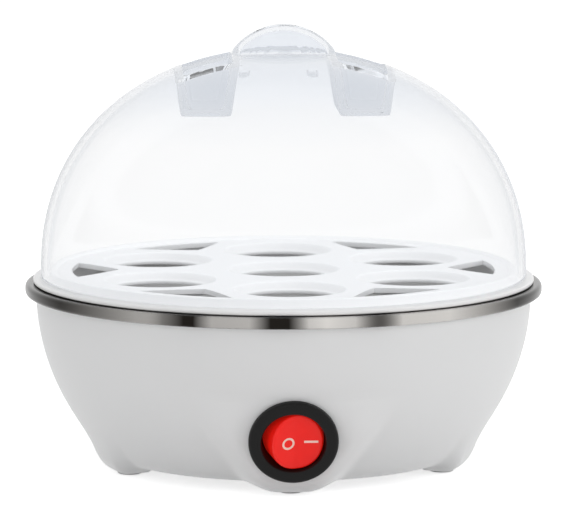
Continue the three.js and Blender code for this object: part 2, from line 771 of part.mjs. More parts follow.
function nut() {
  const bore = stud_radius + fit_gap;
  return revolveRing([[nut_radius, 0], [nut_radius, nut_height], [bore, nut_height], [bore, 0]], hex_sides);
}

function earthTab() {
  const ring = rod(nut_radius, 0, tab_thickness);
  const blade = block(earth_blade, tab_width, tab_thickness).translate(earth_blade / 2, 0, 0);
  const hole = rod(stud_radius + fit_gap, -overrun, tab_thickness + overrun);
  return surface(solid(ring).add(solid(blade)).subtract(solid(hole)));
}

function terminalBlock() {
  const holes = block_poles.map((place) => (
    rod(block_hole_radius, -block_depth, block_depth).rotateX(Math.PI / 2)
      .translate(place * block_pitch, 0, block_height / 2)));
  return surface(cut(solid(block(block_width, block_depth, block_height)), holes.map(solid)));
}

function switchHousing() {
  const bore = barrel_radius - barrel_wall;
  const [low, high] = [fit_gap, fit_gap + bezel_height];
  const cup = revolve([
    [0, -barrel_depth], [barrel_radius, -barrel_depth], [barrel_radius, low], [bezel_radius, low],
    [bezel_radius, high - bezel_edge], [bezel_radius - bezel_edge, high],
    [bore + bezel_edge, high], [bore, high - bezel_edge],
    [bore, barrel_floor - barrel_depth], [0, barrel_floor - barrel_depth],
  ], bezel_sides);
  const catch_top = -body_wall - play - fit_gap;
  const root = barrel_radius - barrel_wall / 2;
  const wing = outline([
    [root, catch_top], [barrel_radius + wing_reach, catch_top],
    [barrel_radius + wing_reach, catch_top - wing_reach], [root, catch_top - wing_length],
  ]);
  const wings = [0, Math.PI].map((angle) => (
    prism(wing, wing_width).rotateX(Math.PI / 2).translate(0, wing_width / 2, 0).rotateZ(angle)));
  const pin_hole = rod(rocker_pin_radius + fit_gap, -barrel_radius - overrun, barrel_radius + overrun)
    .rotateX(Math.PI / 2).translate(0, 0, -rocker_pivot_depth);
  const slots = [-1, 0, 1].map((place) => (
    block(tab_thickness + fit_gap * 2, tab_width + fit_gap * 2, barrel_floor + overrun * 2)
      .translate(place * blade_pitch, 0, -barrel_depth - overrun)));
  return surface(cut(joined([cup, ...wings].map(solid)), [pin_hole, ...slots].map(solid)));
}

// The rocker about its pivot, at mid travel. Its sides lean, so they clear the barrel at both ends of the tilt.
function switchRocker() {
  const reach = barrel_radius - barrel_wall - play;
  const [c, s] = [Math.cos(rocker_tilt * radians), Math.sin(rocker_tilt * radians)];
  const halfWidth = (height) => (reach - s * Math.abs(height)) / c;
  const top = rocker_crest + reach;
  const key = loft([-rocker_skirt, 0, top].map((height) => (
    ovalRing(0, halfWidth(height), reach, height, ellipse_power, oval_sides))));
  const boss = revolve([
    [0, -rocker_skirt - rocker_boss], [rocker_tip_radius, -rocker_skirt - rocker_boss],
    [rocker_boss_radius, -rocker_skirt], [rocker_boss_radius, 0], [0, 0],
  ], small_sides);
  const pin_end = reach + play + rocker_pin_bite;
  const pins = rod(rocker_pin_radius, -pin_end, pin_end).rotateX(Math.PI / 2);
  const rise = rocker_crest + reach * 2 * Math.tan(rocker_tilt * radians);
  const above = outline([
    [0, rocker_crest], [reach * 2, rise], [reach * 2, top * 2], [-reach * 2, top * 2], [-reach * 2, rise],
  ]);
  const valley = prism(above, reach * 4).rotateX(Math.PI / 2).translate(0, reach * 2, 0);
  return surface(joined([key, boss, pins].map(solid)).subtract(solid(valley)));
}

function cordGland() {
  const inner = -body_wall - gland_seat_low - fit_gap;
  const outer = gland_seat_high + fit_gap;
  return revolveRing([
    [gland_bore_radius, inner - gland_flange], [gland_neck_radius, inner - gland_flange],
    [gland_flange_radius, inner - gland_flange / 2], [gland_flange_radius, inner],
    [gland_neck_radius, inner], [gland_neck_radius, outer], [gland_flange_radius, outer],
    [gland_flange_radius, outer + gland_flange / 2], [gland_neck_radius, outer + gland_flange],
    [gland_bore_radius, outer + gland_flange],
  ], oval_sides);
}

// A wire between two ends, each a point and the way in which the wire leaves it.
function wire(from, to, droop = 0) {
  const step = (end) => end.point.clone().addScaledVector(end.away, wire_lead);
  const [a, b] = [step(from), step(to)];
  const middle = a.clone().add(b).divideScalar(2);
  middle.z -= droop;
  const path = new THREE.CatmullRomCurve3([from.point, a, middle, b, to.point], false, 'centripetal');
  const section = new THREE.Shape().absarc(0, 0, wire_radius, 0, turn);
  const facets = outline(section.getPoints(wire_sides / 2).slice(0, wire_sides).map((p) => [p.x, p.y]));
  const options = { steps: wire_steps, extrudePath: path, bevelEnabled: false };
  return new THREE.ExtrudeGeometry(facets, options);
}

const vector = (x, y, z) => new THREE.Vector3(x, y, z);
const down = vector(0, 0, -1);

function switchEnd(place) {
  const away = down.clone().transformDirection(switchFrame);
  const tip = vector(place * blade_pitch, 0, -barrel_depth - blade_outside - fit_gap);
  return { point: tip.applyMatrix4(switchFrame), away };
}

function blockEnd(place) {
  const point = vector(place * block_pitch, block_front - fit_gap, block_bottom + block_height / 2);
  return { point, away: vector(0, -1, 0) };
}

function pinEnd(side) {
  const angle = (side * pin_azimuth - 90) * radians;
  const low = pin_top - pin_collar_length - pin_length - fit_gap;
  const point = vector(bead_circle * Math.cos(angle), bead_circle * Math.sin(angle), low);
  return { point, away: down.clone() };
}

function statEnd(side) {
  const low = stat_top - stat_height - tab_length - fit_gap;
  return { point: vector(side * stat_tab_offset, 0, low), away: down.clone() };
}

const fuse_angle = (90 - fuse_azimuth) * radians;
const fuse_height = plate_bottom - fit_gap - fuse_radius;

function fuseEnd(side) {
  const along = vector(-Math.sin(fuse_angle), Math.cos(fuse_angle), 0).multiplyScalar(side);
  const middle = vector(Math.cos(fuse_angle) * fuse_circle, Math.sin(fuse_angle) * fuse_circle, fuse_height);
  return { point: middle.addScaledVector(along, fuse_length / 2 + fit_gap), away: along };
}

const earth_angle = 90 * radians;
const earth_top = nut_top;

function earthEnd() {
  const reach = stud_circle + earth_blade - wire_radius * 2;
  const low = earth_top - tab_thickness - fit_gap;
  const point = vector(Math.cos(earth_angle) * reach, Math.sin(earth_angle) * reach, low);
  return { point, away: down.clone() };
}

function buildBase() {
  add('base_body', baseBody(), 'white_plastic');
  add('rim_band', rimBand(), 'steel');
  add('water_pan', waterPan(), 'steel');
  add('bottom_cover', bottomCover(), 'white_plastic');
  footPlaces(() => rod(pad_radius, 0, pad_height, pad_sides))
    .forEach((pad, i) => add(`foot_pad_${i + 1}`, pad, 'rubber'));
  screwPlaces(screw).forEach((piece, i) => add(`cover_screw_${i + 1}`, piece, 'steel'));
  add('cord_gland', cordGland().applyMatrix4(glandFrame), 'black_plastic');
}

function buildHeater() {
  add('heating_plate', heatingPlate(), 'aluminium');
  [-1, 1].forEach((side, i) => {
    const pin = heaterPin().translate(bead_circle, 0, 0).rotateZ((side * pin_azimuth - 90) * radians);
    add(`heater_pin_${i + 1}`, pin, 'ceramic');
  });
  const stud = () => rod(stud_radius, plate_top - stud_length, plate_top).translate(stud_circle, 0, 0);
  around(stud_count, 90, stud).forEach((piece, i) => add(`pan_stud_${i + 1}`, piece, 'steel'));
  around(stud_count, 90, () => nut().translate(stud_circle, 0, nut_top - nut_height))
    .forEach((piece, i) => {
      const drop = i === 0 ? tab_thickness + fit_gap : 0;
      add(`stud_nut_${i + 1}`, piece.translate(0, 0, -drop), 'steel');
    });
  add('thermostat', thermostat(), 'black_plastic');
  add('thermostat_bracket', statBracket(), 'steel');
  const tab = earthTab().translate(stud_circle, 0, earth_top - tab_thickness).rotateZ(earth_angle);
  add('earth_tab', tab, 'brass');
  const fuse = rod(fuse_radius, -fuse_length / 2, fuse_length / 2).rotateX(Math.PI / 2)
    .translate(fuse_circle, 0, fuse_height).rotateZ(fuse_angle);
  add('thermal_fuse', fuse, 'ceramic');
  add('terminal_block', terminalBlock().translate(0, block_from_axis, block_bottom), 'ceramic');
}

function buildSwitch() {
  const frame = new THREE.Group();
  frame.rotation.x = Math.PI / 2 + panel_tilt * radians;
  frame.position.set(0, -panel_distance, panel_height);
  group.add(frame);
  add('switch_housing', switchHousing(), 'black_plastic', frame);
  const rocker = add('switch_rocker', switchRocker(), 'red_plastic', frame);
  rocker.position.z = -rocker_pivot_depth;
  rocker.rotation.y = rocker_tilt * radians;
  const length = blade_inside + barrel_floor + blade_outside;
  [-1, 0, 1].forEach((place, i) => {
    const blade = block(tab_thickness, tab_width, length)
      .translate(place * blade_pitch, 0, -barrel_depth - blade_outside);
    add(`switch_blade_${i + 1}`, blade, 'brass', frame);
  });
  const lamp_low = barrel_floor - barrel_depth + fit_gap;
  const lamp = rod(lamp_radius, lamp_low, lamp_low + lamp_length).translate(-lamp_side, lamp_up, 0);
  add('switch_lamp', lamp, 'glass', frame);
}

function buildWiring() {
  const [lamp, live, earth, back] = block_poles.map(blockEnd);
  add('wire_live_in', wire(live, switchEnd(0), wire_droop), 'red_wire');
  add('wire_live_out', wire(switchEnd(1), pinEnd(1)), 'red_wire');
  add('wire_lamp', wire(switchEnd(-1), lamp, wire_droop), 'blue_wire');
  add('wire_heater', wire(pinEnd(-1), statEnd(-1)), 'blue_wire');
  add('wire_fuse_in', wire(statEnd(1), fuseEnd(-1)), 'blue_wire');
  add('wire_fuse_out', wire(fuseEnd(1), back), 'blue_wire');
  add('wire_earth', wire(earthEnd(), earth), 'green_wire');
}

function buildTop() {
  add('egg_tray', eggTray(), 'white_plastic');
  add('lid_dome', lidDome(), 'clear_plastic');
}

buildBase();
buildHeater();
buildSwitch();
buildWiring();
buildTop();

export default group;
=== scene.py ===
# %% [markdown]
# # An electric egg boiler
#
# The real object is a small kitchen cooker: a lobed white plastic base with a red rocker switch, a rolled
# steel band, a white seat tray over a steel pan, and a clear domed lid with a grip and two finger pockets.
# The packed CAD model is loaded first. It is the frame that everything here is measured against: it isn't
# moved, and each new piece rides on one of its bodies.

import json
import math

import bmesh
import bpy
import numpy as np
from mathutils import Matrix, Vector
from mathutils.geometry import delaunay_2d_cdt


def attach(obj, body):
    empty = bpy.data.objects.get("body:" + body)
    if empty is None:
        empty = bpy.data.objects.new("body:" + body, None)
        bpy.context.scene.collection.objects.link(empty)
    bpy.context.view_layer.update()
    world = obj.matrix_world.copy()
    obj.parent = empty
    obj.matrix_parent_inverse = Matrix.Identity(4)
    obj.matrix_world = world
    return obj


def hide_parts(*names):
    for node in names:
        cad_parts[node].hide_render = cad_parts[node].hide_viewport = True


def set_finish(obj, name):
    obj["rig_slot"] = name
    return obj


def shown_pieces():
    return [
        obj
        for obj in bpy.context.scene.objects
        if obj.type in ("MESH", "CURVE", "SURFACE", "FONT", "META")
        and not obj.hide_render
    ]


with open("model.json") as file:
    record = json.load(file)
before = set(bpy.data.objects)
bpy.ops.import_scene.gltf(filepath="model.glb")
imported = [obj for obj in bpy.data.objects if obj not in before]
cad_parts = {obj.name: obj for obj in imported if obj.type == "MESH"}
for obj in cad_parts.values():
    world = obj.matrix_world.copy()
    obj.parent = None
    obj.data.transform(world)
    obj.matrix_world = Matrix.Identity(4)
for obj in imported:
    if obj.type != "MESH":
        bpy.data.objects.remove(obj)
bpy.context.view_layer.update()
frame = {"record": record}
collection = bpy.context.scene.collection
MM = 0.001

# %% [markdown]
# ## The camera
#
# It could be set by eye, but the photograph gives enough to work it out: the steel rim is a circle seen as
# a flat ellipse, so its height over its width is the sine of the angle from which it is seen. The object
# looks almost without perspective, so the camera stands far off with a long lens. Its aim is the point in
# the picture's middle.

# %% Camera
camera_distance = 2.0
camera_azimuth = math.radians(-2.5)
camera_height = 0.345
aim = Vector((0, 0, 0.0708))
pixels_per_metre = 2934
image_width = 567

camera_data = bpy.data.cameras.new("camera")
camera_data.sensor_fit = "HORIZONTAL"
camera_data.sensor_width = 36
camera = bpy.data.objects.new("camera", camera_data)
camera.location = (
    camera_distance * math.sin(camera_azimuth), -camera_distance * math.cos(camera_azimuth), camera_height,
)
camera.rotation_euler = (aim - camera.location).to_track_quat("-Z", "Y").to_euler()
camera_data.lens = pixels_per_metre * (aim - camera.location).length * camera_data.sensor_width / image_width
collection.objects.link(camera)
bpy.context.scene.camera = camera
print("lens", round(camera_data.lens, 1), "mm, looking down by",
      round(math.degrees(math.atan2(camera_height - aim.z, camera_distance)), 1), "degrees")

# %% [markdown]
# ## From arrays to meshes
#
# Every new piece is worked out as an array of points in millimetres and a list of faces. One helper makes
# the mesh, merges the points that meet at a seam or a pole and turns the faces outwards. Others round a
# profile's corners, turn it about the upright axis, and cut or join whole solids. Modelling by hand would
# be quicker for one piece, but working in arrays keeps each shape's formula in one place, where a size can
# be changed.

# %% Mesh helpers
merge_distance, sliver_length = 2e-6, 1e-6
crease_angle = 35


def make_piece(name, points, faces, body="base", slot=None, sharp_degrees=crease_angle):
    """A piece from points (n, 3) in millimetres and faces. Faces are turned outwards by the signed volume:
    the sum of the triple products of each face's corners is negative on a closed shell that is inside out."""
    mesh = bpy.data.meshes.new(name)
    mesh.from_pydata((np.asarray(points, float) * MM).tolist(), [], [list(map(int, face)) for face in faces])
    work = bmesh.new()
    work.from_mesh(mesh)
    bmesh.ops.remove_doubles(work, verts=work.verts, dist=merge_distance)
    bmesh.ops.dissolve_degenerate(work, edges=work.edges, dist=sliver_length)
    if work.calc_volume(signed=True) < 0:
        bmesh.ops.reverse_faces(work, faces=work.faces)
    open_edges = sum(not edge.is_manifold for edge in work.edges)
    for face in work.faces:
        face.smooth = True
    work.to_mesh(mesh)
    work.free()
    mesh.set_sharp_from_angle(angle=math.radians(sharp_degrees))
    piece = bpy.data.objects.new(name, mesh)
    collection.objects.link(piece)
    if body:
        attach(piece, body)
    if slot:
        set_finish(piece, slot)
    print(f"{name}: {len(mesh.polygons)} faces, {open_edges} open edges")
    return piece


print("edges over", crease_angle, "degrees stay sharp")

# %% Grids and places
def grid_faces(rows, columns, close_rows=False, close_columns=False):
    """Quads between neighbours of a grid stored row after row: corner (i, j) is point i * columns + j."""
    i = np.arange(rows if close_rows else rows - 1)[:, None]
    j = np.arange(columns if close_columns else columns - 1)[None, :]
    i_next, j_next = (i + 1) % rows, (j + 1) % columns
    corners = [i * columns + j, i * columns + j_next, i_next * columns + j_next, i_next * columns + j]
    return np.stack([np.broadcast_to(c, (i.size, j.size)).ravel() for c in corners], axis=1)


def full_turn(steps):
    """Even angles round a circle."""
    return np.linspace(0, 2 * np.pi, steps, endpoint=False)


def polar(radius, angle, *height):
    """Points (r cos a, r sin a), or (r cos a, r sin a, z) where a height is given."""
    return np.stack(np.broadcast_arrays(radius * np.cos(angle), radius * np.sin(angle), *height), axis=-1)


def spun(flat, turn):
    """Flat points turned about the origin: (x cos a - y sin a, x sin a + y cos a)."""
    c, s = math.cos(turn), math.sin(turn)
    return flat @ np.array([[c, s], [-s, c]])


def placed(points, matrix):
    """Points turned and moved by a 4 by 4 matrix."""
    return points @ matrix[:3, :3].T + matrix[:3, 3]


def at_heights(flat, *heights):
    """Copies of flat points (n, 2), one after another, each lifted to one of the heights."""
    return np.concatenate([np.column_stack([flat, np.full(len(flat), z)]) for z in heights])


print("a closed grid of 3 by 4 points has", len(grid_faces(3, 4, True, True)), "faces")

# %% Profiles
def bend(start, corner, end, t):
    """A quadratic curve that leans to a corner: (1-t)^2 start + 2 t (1-t) corner + t^2 end."""
    return (1 - t) ** 2 * start + 2 * t * (1 - t) * corner + t ** 2 * end


def rounded(profile, radius, steps=4, closed=False):
    """The profile with each corner replaced by a bend that starts and ends radius away from it, or half a
    side away where the side is short. An open profile keeps its two ends."""
    points = np.asarray(profile, float)
    radius = np.broadcast_to(radius, len(points))[:, None]
    before, after = np.roll(points, 1, axis=0), np.roll(points, -1, axis=0)
    back, ahead = before - points, after - points
    back_length = np.linalg.norm(back, axis=1, keepdims=True)
    ahead_length = np.linalg.norm(ahead, axis=1, keepdims=True)
    a = points + back / back_length * np.minimum(radius, back_length * 0.49)
    b = points + ahead / ahead_length * np.minimum(radius, ahead_length * 0.49)
    t = np.linspace(0, 1, steps + 1)[None, :, None]
    curve = bend(a[:, None], points[:, None], b[:, None], t)
    if not closed:
        return np.concatenate([points[:1], curve[1:-1].reshape(-1, 2), points[-1:]])
    return curve.reshape(-1, 2)


def turned(profile, steps=144, closed=False, place=(0, 0, 0), matrix=np.eye(4)):
    """Points and faces of a [radius, height] profile turned about Z, (r cos a, r sin a, z), and then put
    where a matrix and a place say."""
    profile = np.asarray(profile, float)
    points = polar(profile[:, 0], full_turn(steps)[:, None], profile[:, 1]).reshape(-1, 3)
    faces = grid_faces(steps, len(profile), close_rows=True, close_columns=closed)
    return placed(points, matrix) + place, faces


print("a rounded square has", len(rounded([(0, 0), (1, 0), (1, 1), (0, 1)], 0.2, closed=True)), "points")

# %% Carving
def carve(piece, tools, operation="DIFFERENCE"):
    """Cuts the tools out of a piece, or joins them to it, and leaves the result as the piece's own mesh."""
    for tool in tools:
        change = piece.modifiers.new("carve", "BOOLEAN")
        change.operation, change.solver, change.object = operation, "EXACT", tool
    bpy.context.view_layer.update()
    result = bpy.data.meshes.new_from_object(piece.evaluated_get(bpy.context.evaluated_depsgraph_get()))
    piece.modifiers.clear()
    piece.data = result
    result.set_sharp_from_angle(angle=math.radians(crease_angle))
    for tool in tools:
        bpy.data.objects.remove(tool)
    print(f"{piece.name} carved: {len(result.polygons)} faces")


def drum(radius, low, high, steps=48, **where):
    """A plain round tool for carving, from low to high along Z, put where a matrix or a place says."""
    profile = [(0, low), (radius, low), (radius, high), (0, high)]
    return make_piece("tool", *turned(profile, steps, **where), body=None)


print("two helpers made: carve and drum")

# %% [markdown]
# ## Sizes
#
# The scene can't read the CAD source, so the sizes that both share are written again, in millimetres, and
# the ones that follow are worked out the same way. The rim band's radius leads, because the round pieces
# stack inside one another from it.

# %% Shared sizes
fit_gap, play = 0.3, 0.5
rim_radius, rim_bottom, rim_gauge, rim_corner = 88, 59.2, 0.6, 0.9
body_wall, body_flange = 2.4, 1.2
belly_inset, belly_height, belly_depth = 3.7, 60, 79
belly_radius = rim_radius - belly_inset
foot_share, seat_circle_share = 0.661, 0.615
foot_radius = belly_radius * foot_share
flange_bottom = rim_bottom + rim_gauge + fit_gap
flange_top = flange_bottom + body_flange
flange_radius = rim_radius - rim_gauge - rim_corner
pan_gauge = 0.7
pan_flange_bottom = flange_top + fit_gap
pan_flange_top = pan_flange_bottom + pan_gauge
pan_mouth_radius = belly_radius - body_wall - play - fit_gap
rim_top = pan_flange_top + fit_gap + rim_gauge
tray_plate, tray_rise = 1.6, 2.3
tray_bottom = rim_top + fit_gap
tray_flange_top = tray_bottom + tray_plate
tray_top = tray_flange_top + tray_rise
lid_inset, lid_wall, lid_rise, lid_power = 5.3, 2.2, 74.6, 2.15
lid_radius = rim_radius - lid_inset
tray_lip_radius = lid_radius - lid_wall - play - fit_gap
seat_circle = tray_lip_radius * seat_circle_share
lid_foot_height = 2.6
lid_bottom = tray_flange_top + fit_gap
lid_shoulder = lid_bottom + lid_foot_height
lid_apex = lid_shoulder + lid_rise
panel_height, panel_tilt, panel_stand = 20.6, math.radians(18.5), 1.75


def bowl_radius(height):
    """Half an ellipse in section: belly_radius * sqrt(1 - ((belly_height - z) / belly_depth)^2)."""
    return belly_radius * np.sqrt(1 - ((belly_height - np.asarray(height, float)) / belly_depth) ** 2)


panel_distance = float(bowl_radius(panel_height)) + panel_stand
print("panel at", round(panel_distance, 2), "mm; tray top at", tray_top, "mm; dome top at", lid_apex, "mm")

# %% [markdown]
# ## The base
#
# The base is one thin moulding: a bowl that swells into five lobes, each of which ends in a foot. The front
# lobe is cut flat for the switch. It could be sculpted, but each upright section of it is a mix of two of
# three curves, the bowl's, a foot's and the flat panel's. So the shell is worked out on a grid instead: the
# angle round the axis chooses how much of the lobe's curve is mixed into the bowl's, and the inside is the
# same curve moved in by the wall.

# %% Wall of the base
lobe_count, lobe_top = 5, 35
lobe_pitch = 360 / lobe_count
crest_degrees = {"foot": (4.5, 9), "panel": (2, 13.5)}
crease_degrees = {"foot": (12.5, 22), "panel": (16, 29)}
bowl_floor, foot_floor = 3.4, 0.8
low_height = {"bowl": 9, "foot": 7.5, "panel": 6.2}
foot_swell, foot_swell_power = 2.9, 6
foot_land_outer, foot_land_inner, bowl_land = 3, 4.2, -1.2
foot_inner_radius = foot_radius - foot_land_inner
collar_inset, collar_top = 5.5, 9
collar_radius = foot_inner_radius - collar_inset
mouth_blend = 0.5


def wall_radius(kind, height):
    """The radius of the flat panel, of the bowl, or of a foot, which is the bowl's and a swell of
    foot_swell * share^6 below the lobe's top."""
    if kind == "panel":
        return panel_distance + (height - panel_height) * math.tan(panel_tilt)
    share = np.clip((lobe_top - height) / (lobe_top - low_height["foot"]), 0, None)
    return bowl_radius(height) + (foot_swell * share ** foot_swell_power if kind == "foot" else 0)


print("wall radius at 10 mm:", {kind: round(float(wall_radius(kind, 10)), 1) for kind in low_height})

# %% Sections of the base
def meridian(kind):
    """The outside of one section, from the flange under the steel band down to the floor's inner edge."""
    low, floor = low_height[kind], bowl_floor if kind == "bowl" else foot_floor
    upper = np.linspace(flange_bottom, lobe_top, 12)[:-1]
    lower = np.linspace(lobe_top, low, 20)
    wall = np.concatenate([
        np.stack([bowl_radius(upper), upper], axis=1),
        np.stack([wall_radius(kind, lower), lower], axis=1),
    ])
    edge = wall_radius(kind, low)
    slope = (wall_radius(kind, low + body_wall) - edge) / body_wall
    elbow = np.array([edge - slope * (low - floor), floor])
    end = np.array([foot_radius + (bowl_land if kind == "bowl" else foot_land_outer), floor])
    corner = bend(wall[-1], elbow, end, np.linspace(0, 1, 11)[1:, None])
    top = [[flange_radius, flange_top], [flange_radius, flange_bottom]]
    return np.concatenate([top, wall, corner, [[foot_inner_radius, floor]]])


def inner_meridian(rows):
    """The same rows moved inwards by the wall, square to the line through each row's neighbours."""
    rows = rows[2:]
    along = np.gradient(rows, axis=0)
    along /= np.linalg.norm(along, axis=1, keepdims=True)
    inner = rows + body_wall * np.stack([along[:, 1], -along[:, 0]], axis=1)
    mouth = bowl_radius(flange_bottom) - body_wall
    inner = inner[inner[:, 1] < flange_bottom - mouth_blend][::-1]
    return np.concatenate([inner, [[mouth, flange_bottom], [mouth, flange_top]]])


def shell_loop(kind):
    """One whole section: outside, the collar that holds the bottom cover, and inside."""
    outer = meridian(kind)
    collar = [
        [collar_radius + body_wall, bowl_floor], [collar_radius, bowl_floor], [collar_radius, collar_top],
        [collar_radius + body_wall, collar_top], [collar_radius + body_wall, bowl_floor + body_wall],
    ]
    return np.concatenate([outer, collar, inner_meridian(outer)])


print("one section has", len(shell_loop("foot")), "points")

# %% Base shell
shell_columns = 480
panel_flat_height, panel_flat_width = 24.6, 4


def lobe_share(kind, degrees, height):
    """One at a lobe's crest, falling as 3 s^2 - 2 s^3 to nothing at its crease. Both narrow downwards."""
    crest = np.interp(height, (0, panel_height), crest_degrees[kind])
    crease = np.interp(height, (0, lobe_top), crease_degrees[kind])
    share = np.clip((crease - np.abs(degrees)) / (crease - crest), 0, 1)
    return share * share * (3 - 2 * share)


def base_shell():
    """All sections round the axis: each row of the bowl's curve goes by the lobe's share to the crest's."""
    loops = {kind: shell_loop(kind) for kind in low_height}
    turn = np.arange(shell_columns) * 360 / shell_columns
    degrees = ((turn + lobe_pitch / 2) % lobe_pitch - lobe_pitch / 2)[:, None]
    is_front = ((turn + lobe_pitch / 2) % 360 < lobe_pitch)[:, None]
    crest = np.where(is_front[..., None], loops["panel"], loops["foot"])
    bowl = loops["bowl"][None]
    height = bowl[..., 1]
    flatten = np.clip((lobe_top - height) / (lobe_top - panel_flat_height), 0, 1)
    flatten = flatten * np.clip((crest[..., 0] - foot_radius) / panel_flat_width, 0, 1) * is_front
    crest_radius = crest[..., 0] * (1 + flatten * (1 / np.cos(np.radians(degrees)) - 1))
    weight = np.where(is_front, lobe_share("panel", degrees, height), lobe_share("foot", degrees, height))
    radius = bowl[..., 0] + (crest_radius - bowl[..., 0]) * weight
    z = height + (crest[..., 1] - height) * weight
    angle = np.radians(turn - 90)[:, None]
    return polar(radius, angle, z).reshape(-1, 3), grid_faces(*z.shape, close_rows=True, close_columns=True)


body_shell = make_piece("body_shell", *base_shell(), slot="body_plastic", sharp_degrees=50)

# %% [markdown]
# The switch's barrel, the cord gland and the foot pads sit in holes. A hole could be left out of the grid,
# but cutting it afterwards with a round tool is simpler and gives it a true round edge. The switch and the
# gland stand at an angle, so each gets a small frame: its own Z axis points out of the wall.

# %% Holes in the base
def tilted_frame(angle, place):
    """A 4 by 4 matrix that turns by an angle about X and then moves to a place."""
    c, s = math.cos(angle), math.sin(angle)
    return np.array([[1, 0, 0, place[0]], [0, c, -s, place[1]], [0, s, c, place[2]], [0, 0, 0, 1]], float)


switch_frame = tilted_frame(math.pi / 2 + panel_tilt, (0, -panel_distance, panel_height))
gland_height = 22
gland_slope = math.atan(float(bowl_radius(gland_height + body_wall) - bowl_radius(gland_height)) / body_wall)
gland_frame = tilted_frame(-math.pi / 2 - gland_slope, (0, float(bowl_radius(gland_height)), gland_height))
gland_hole, barrel_hole = 5.3, 12.8
gland_collar, gland_collar_depth, gland_collar_stand = 8.6, 1.8, 0.8
gland_low, gland_high = -body_wall - gland_collar_depth, gland_collar_stand
cut_low, cut_high, cut_overrun = -9, 4, 2
foot_angles = np.radians(-90 + np.arange(lobe_count) * lobe_pitch)
foot_places = polar(foot_radius, foot_angles, 0)
pad_radius, pad_height = 4.2, 2.4

carve(body_shell, [drum(gland_collar, gland_low, gland_high, matrix=gland_frame)], "UNION")
cutters = [
    drum(barrel_hole, cut_low, cut_high, steps=96, matrix=switch_frame),
    drum(gland_hole, cut_low, cut_high, matrix=gland_frame),
]
pad_hole_top = pad_height + fit_gap
cutters += [drum(pad_radius + fit_gap, -cut_overrun, pad_hole_top, place=place) for place in foot_places]
carve(body_shell, cutters)
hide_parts("base_body")

# %% [markdown]
# ## Turned pieces
#
# The steel band, the pan, the cord gland, the pads and the screws are all round, so a profile turned about
# an axis is the whole shape. Their profiles are the CAD's, with the corners rounded as bent sheet and
# moulded rubber are, because a rounded edge is what catches the light. Where corners differ, the list of
# points is followed by the list of their radii.

# %% Steel band and water pan
def sheet_profile(path, gauge):
    """A closed outline, half a gauge to each side of an open path and square to it."""
    path = np.asarray(path, float)
    along = np.gradient(path, axis=0)
    along /= np.linalg.norm(along, axis=1, keepdims=True)
    normal = np.stack([-along[:, 1], along[:, 0]], axis=1) * gauge / 2
    return np.concatenate([path + normal, (path - normal)[::-1]])


bend_steps = 8
band_lower_lip, band_upper_lip, band_bend = 3, 4.3, 1.3
middle = rim_radius - rim_gauge / 2
low, high = rim_bottom + rim_gauge / 2, rim_top - rim_gauge / 2
band_path = rounded([
    (rim_radius - band_lower_lip, low), (middle, low), (middle, high), (rim_radius - band_upper_lip, high),
], band_bend, bend_steps)
band_grid = turned(sheet_profile(band_path, rim_gauge), 240, closed=True)
rim_band = make_piece("steel_band", *band_grid, slot="rim_steel")
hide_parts("rim_band")

pan_depth, pan_taper, pan_floor_bend, pan_flange_bend = 19.7, 4, 5, 1.4
pan_floor = pan_flange_top - pan_depth - pan_gauge / 2
pan_wall = pan_mouth_radius - pan_gauge / 2
pan_flange = pan_flange_bottom + pan_gauge / 2
pan_path = rounded([
    (0, pan_floor), (pan_wall - pan_taper, pan_floor), (pan_wall, pan_flange), (flange_radius, pan_flange),
], [0, pan_floor_bend, pan_flange_bend, 0], bend_steps)
pan_grid = turned(sheet_profile(pan_path, pan_gauge), 192)
water_pan = make_piece("steel_pan", *pan_grid, slot="pan_steel")
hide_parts("water_pan")

# %% Vented cover
cover_recess, cover_thickness, boss_inset, screw_hole = 1, 2, 5, 1.8
cover_bottom = bowl_floor + cover_recess
cover_top = cover_bottom + cover_thickness
cover_radius = collar_radius - play
screw_places = polar(collar_radius - boss_inset, np.radians([90, 210, 330]), 0)
vent_count, vent_length, vent_width, vent_first, vent_pitch = 4, 34, 2.6, -10, 6.5
cover_cut = 9


def bar(length, width, low, high, place, turn=0):
    """A flat tool for slots: a box whose ends are half circles of its width."""
    end = polar(width / 2, np.linspace(-np.pi / 2, np.pi / 2, 9)) + [(length - width) / 2, 0]
    ring = spun(np.concatenate([end, -end]), turn) + place
    n = len(ring)
    faces = list(grid_faces(2, n, close_columns=True)) + [range(n), range(2 * n - 1, n - 1, -1)]
    return make_piece("tool", at_heights(ring, low, high), faces, body=None)


cover_profile = rounded([
    (0, cover_bottom), (cover_radius, cover_bottom), (cover_radius, cover_top), (0, cover_top),
], [0, 0.6, 0.3, 0])
bottom_cover = make_piece("vented_cover", *turned(cover_profile), slot="body_plastic")
vent_lines = vent_first - vent_pitch * np.arange(vent_count)
cutters = [bar(vent_length, vent_width, 0, cover_cut, (0, y)) for y in vent_lines]
cutters += [drum(screw_hole, 0, cover_cut, place=place) for place in screw_places]
carve(bottom_cover, cutters)
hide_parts("bottom_cover")

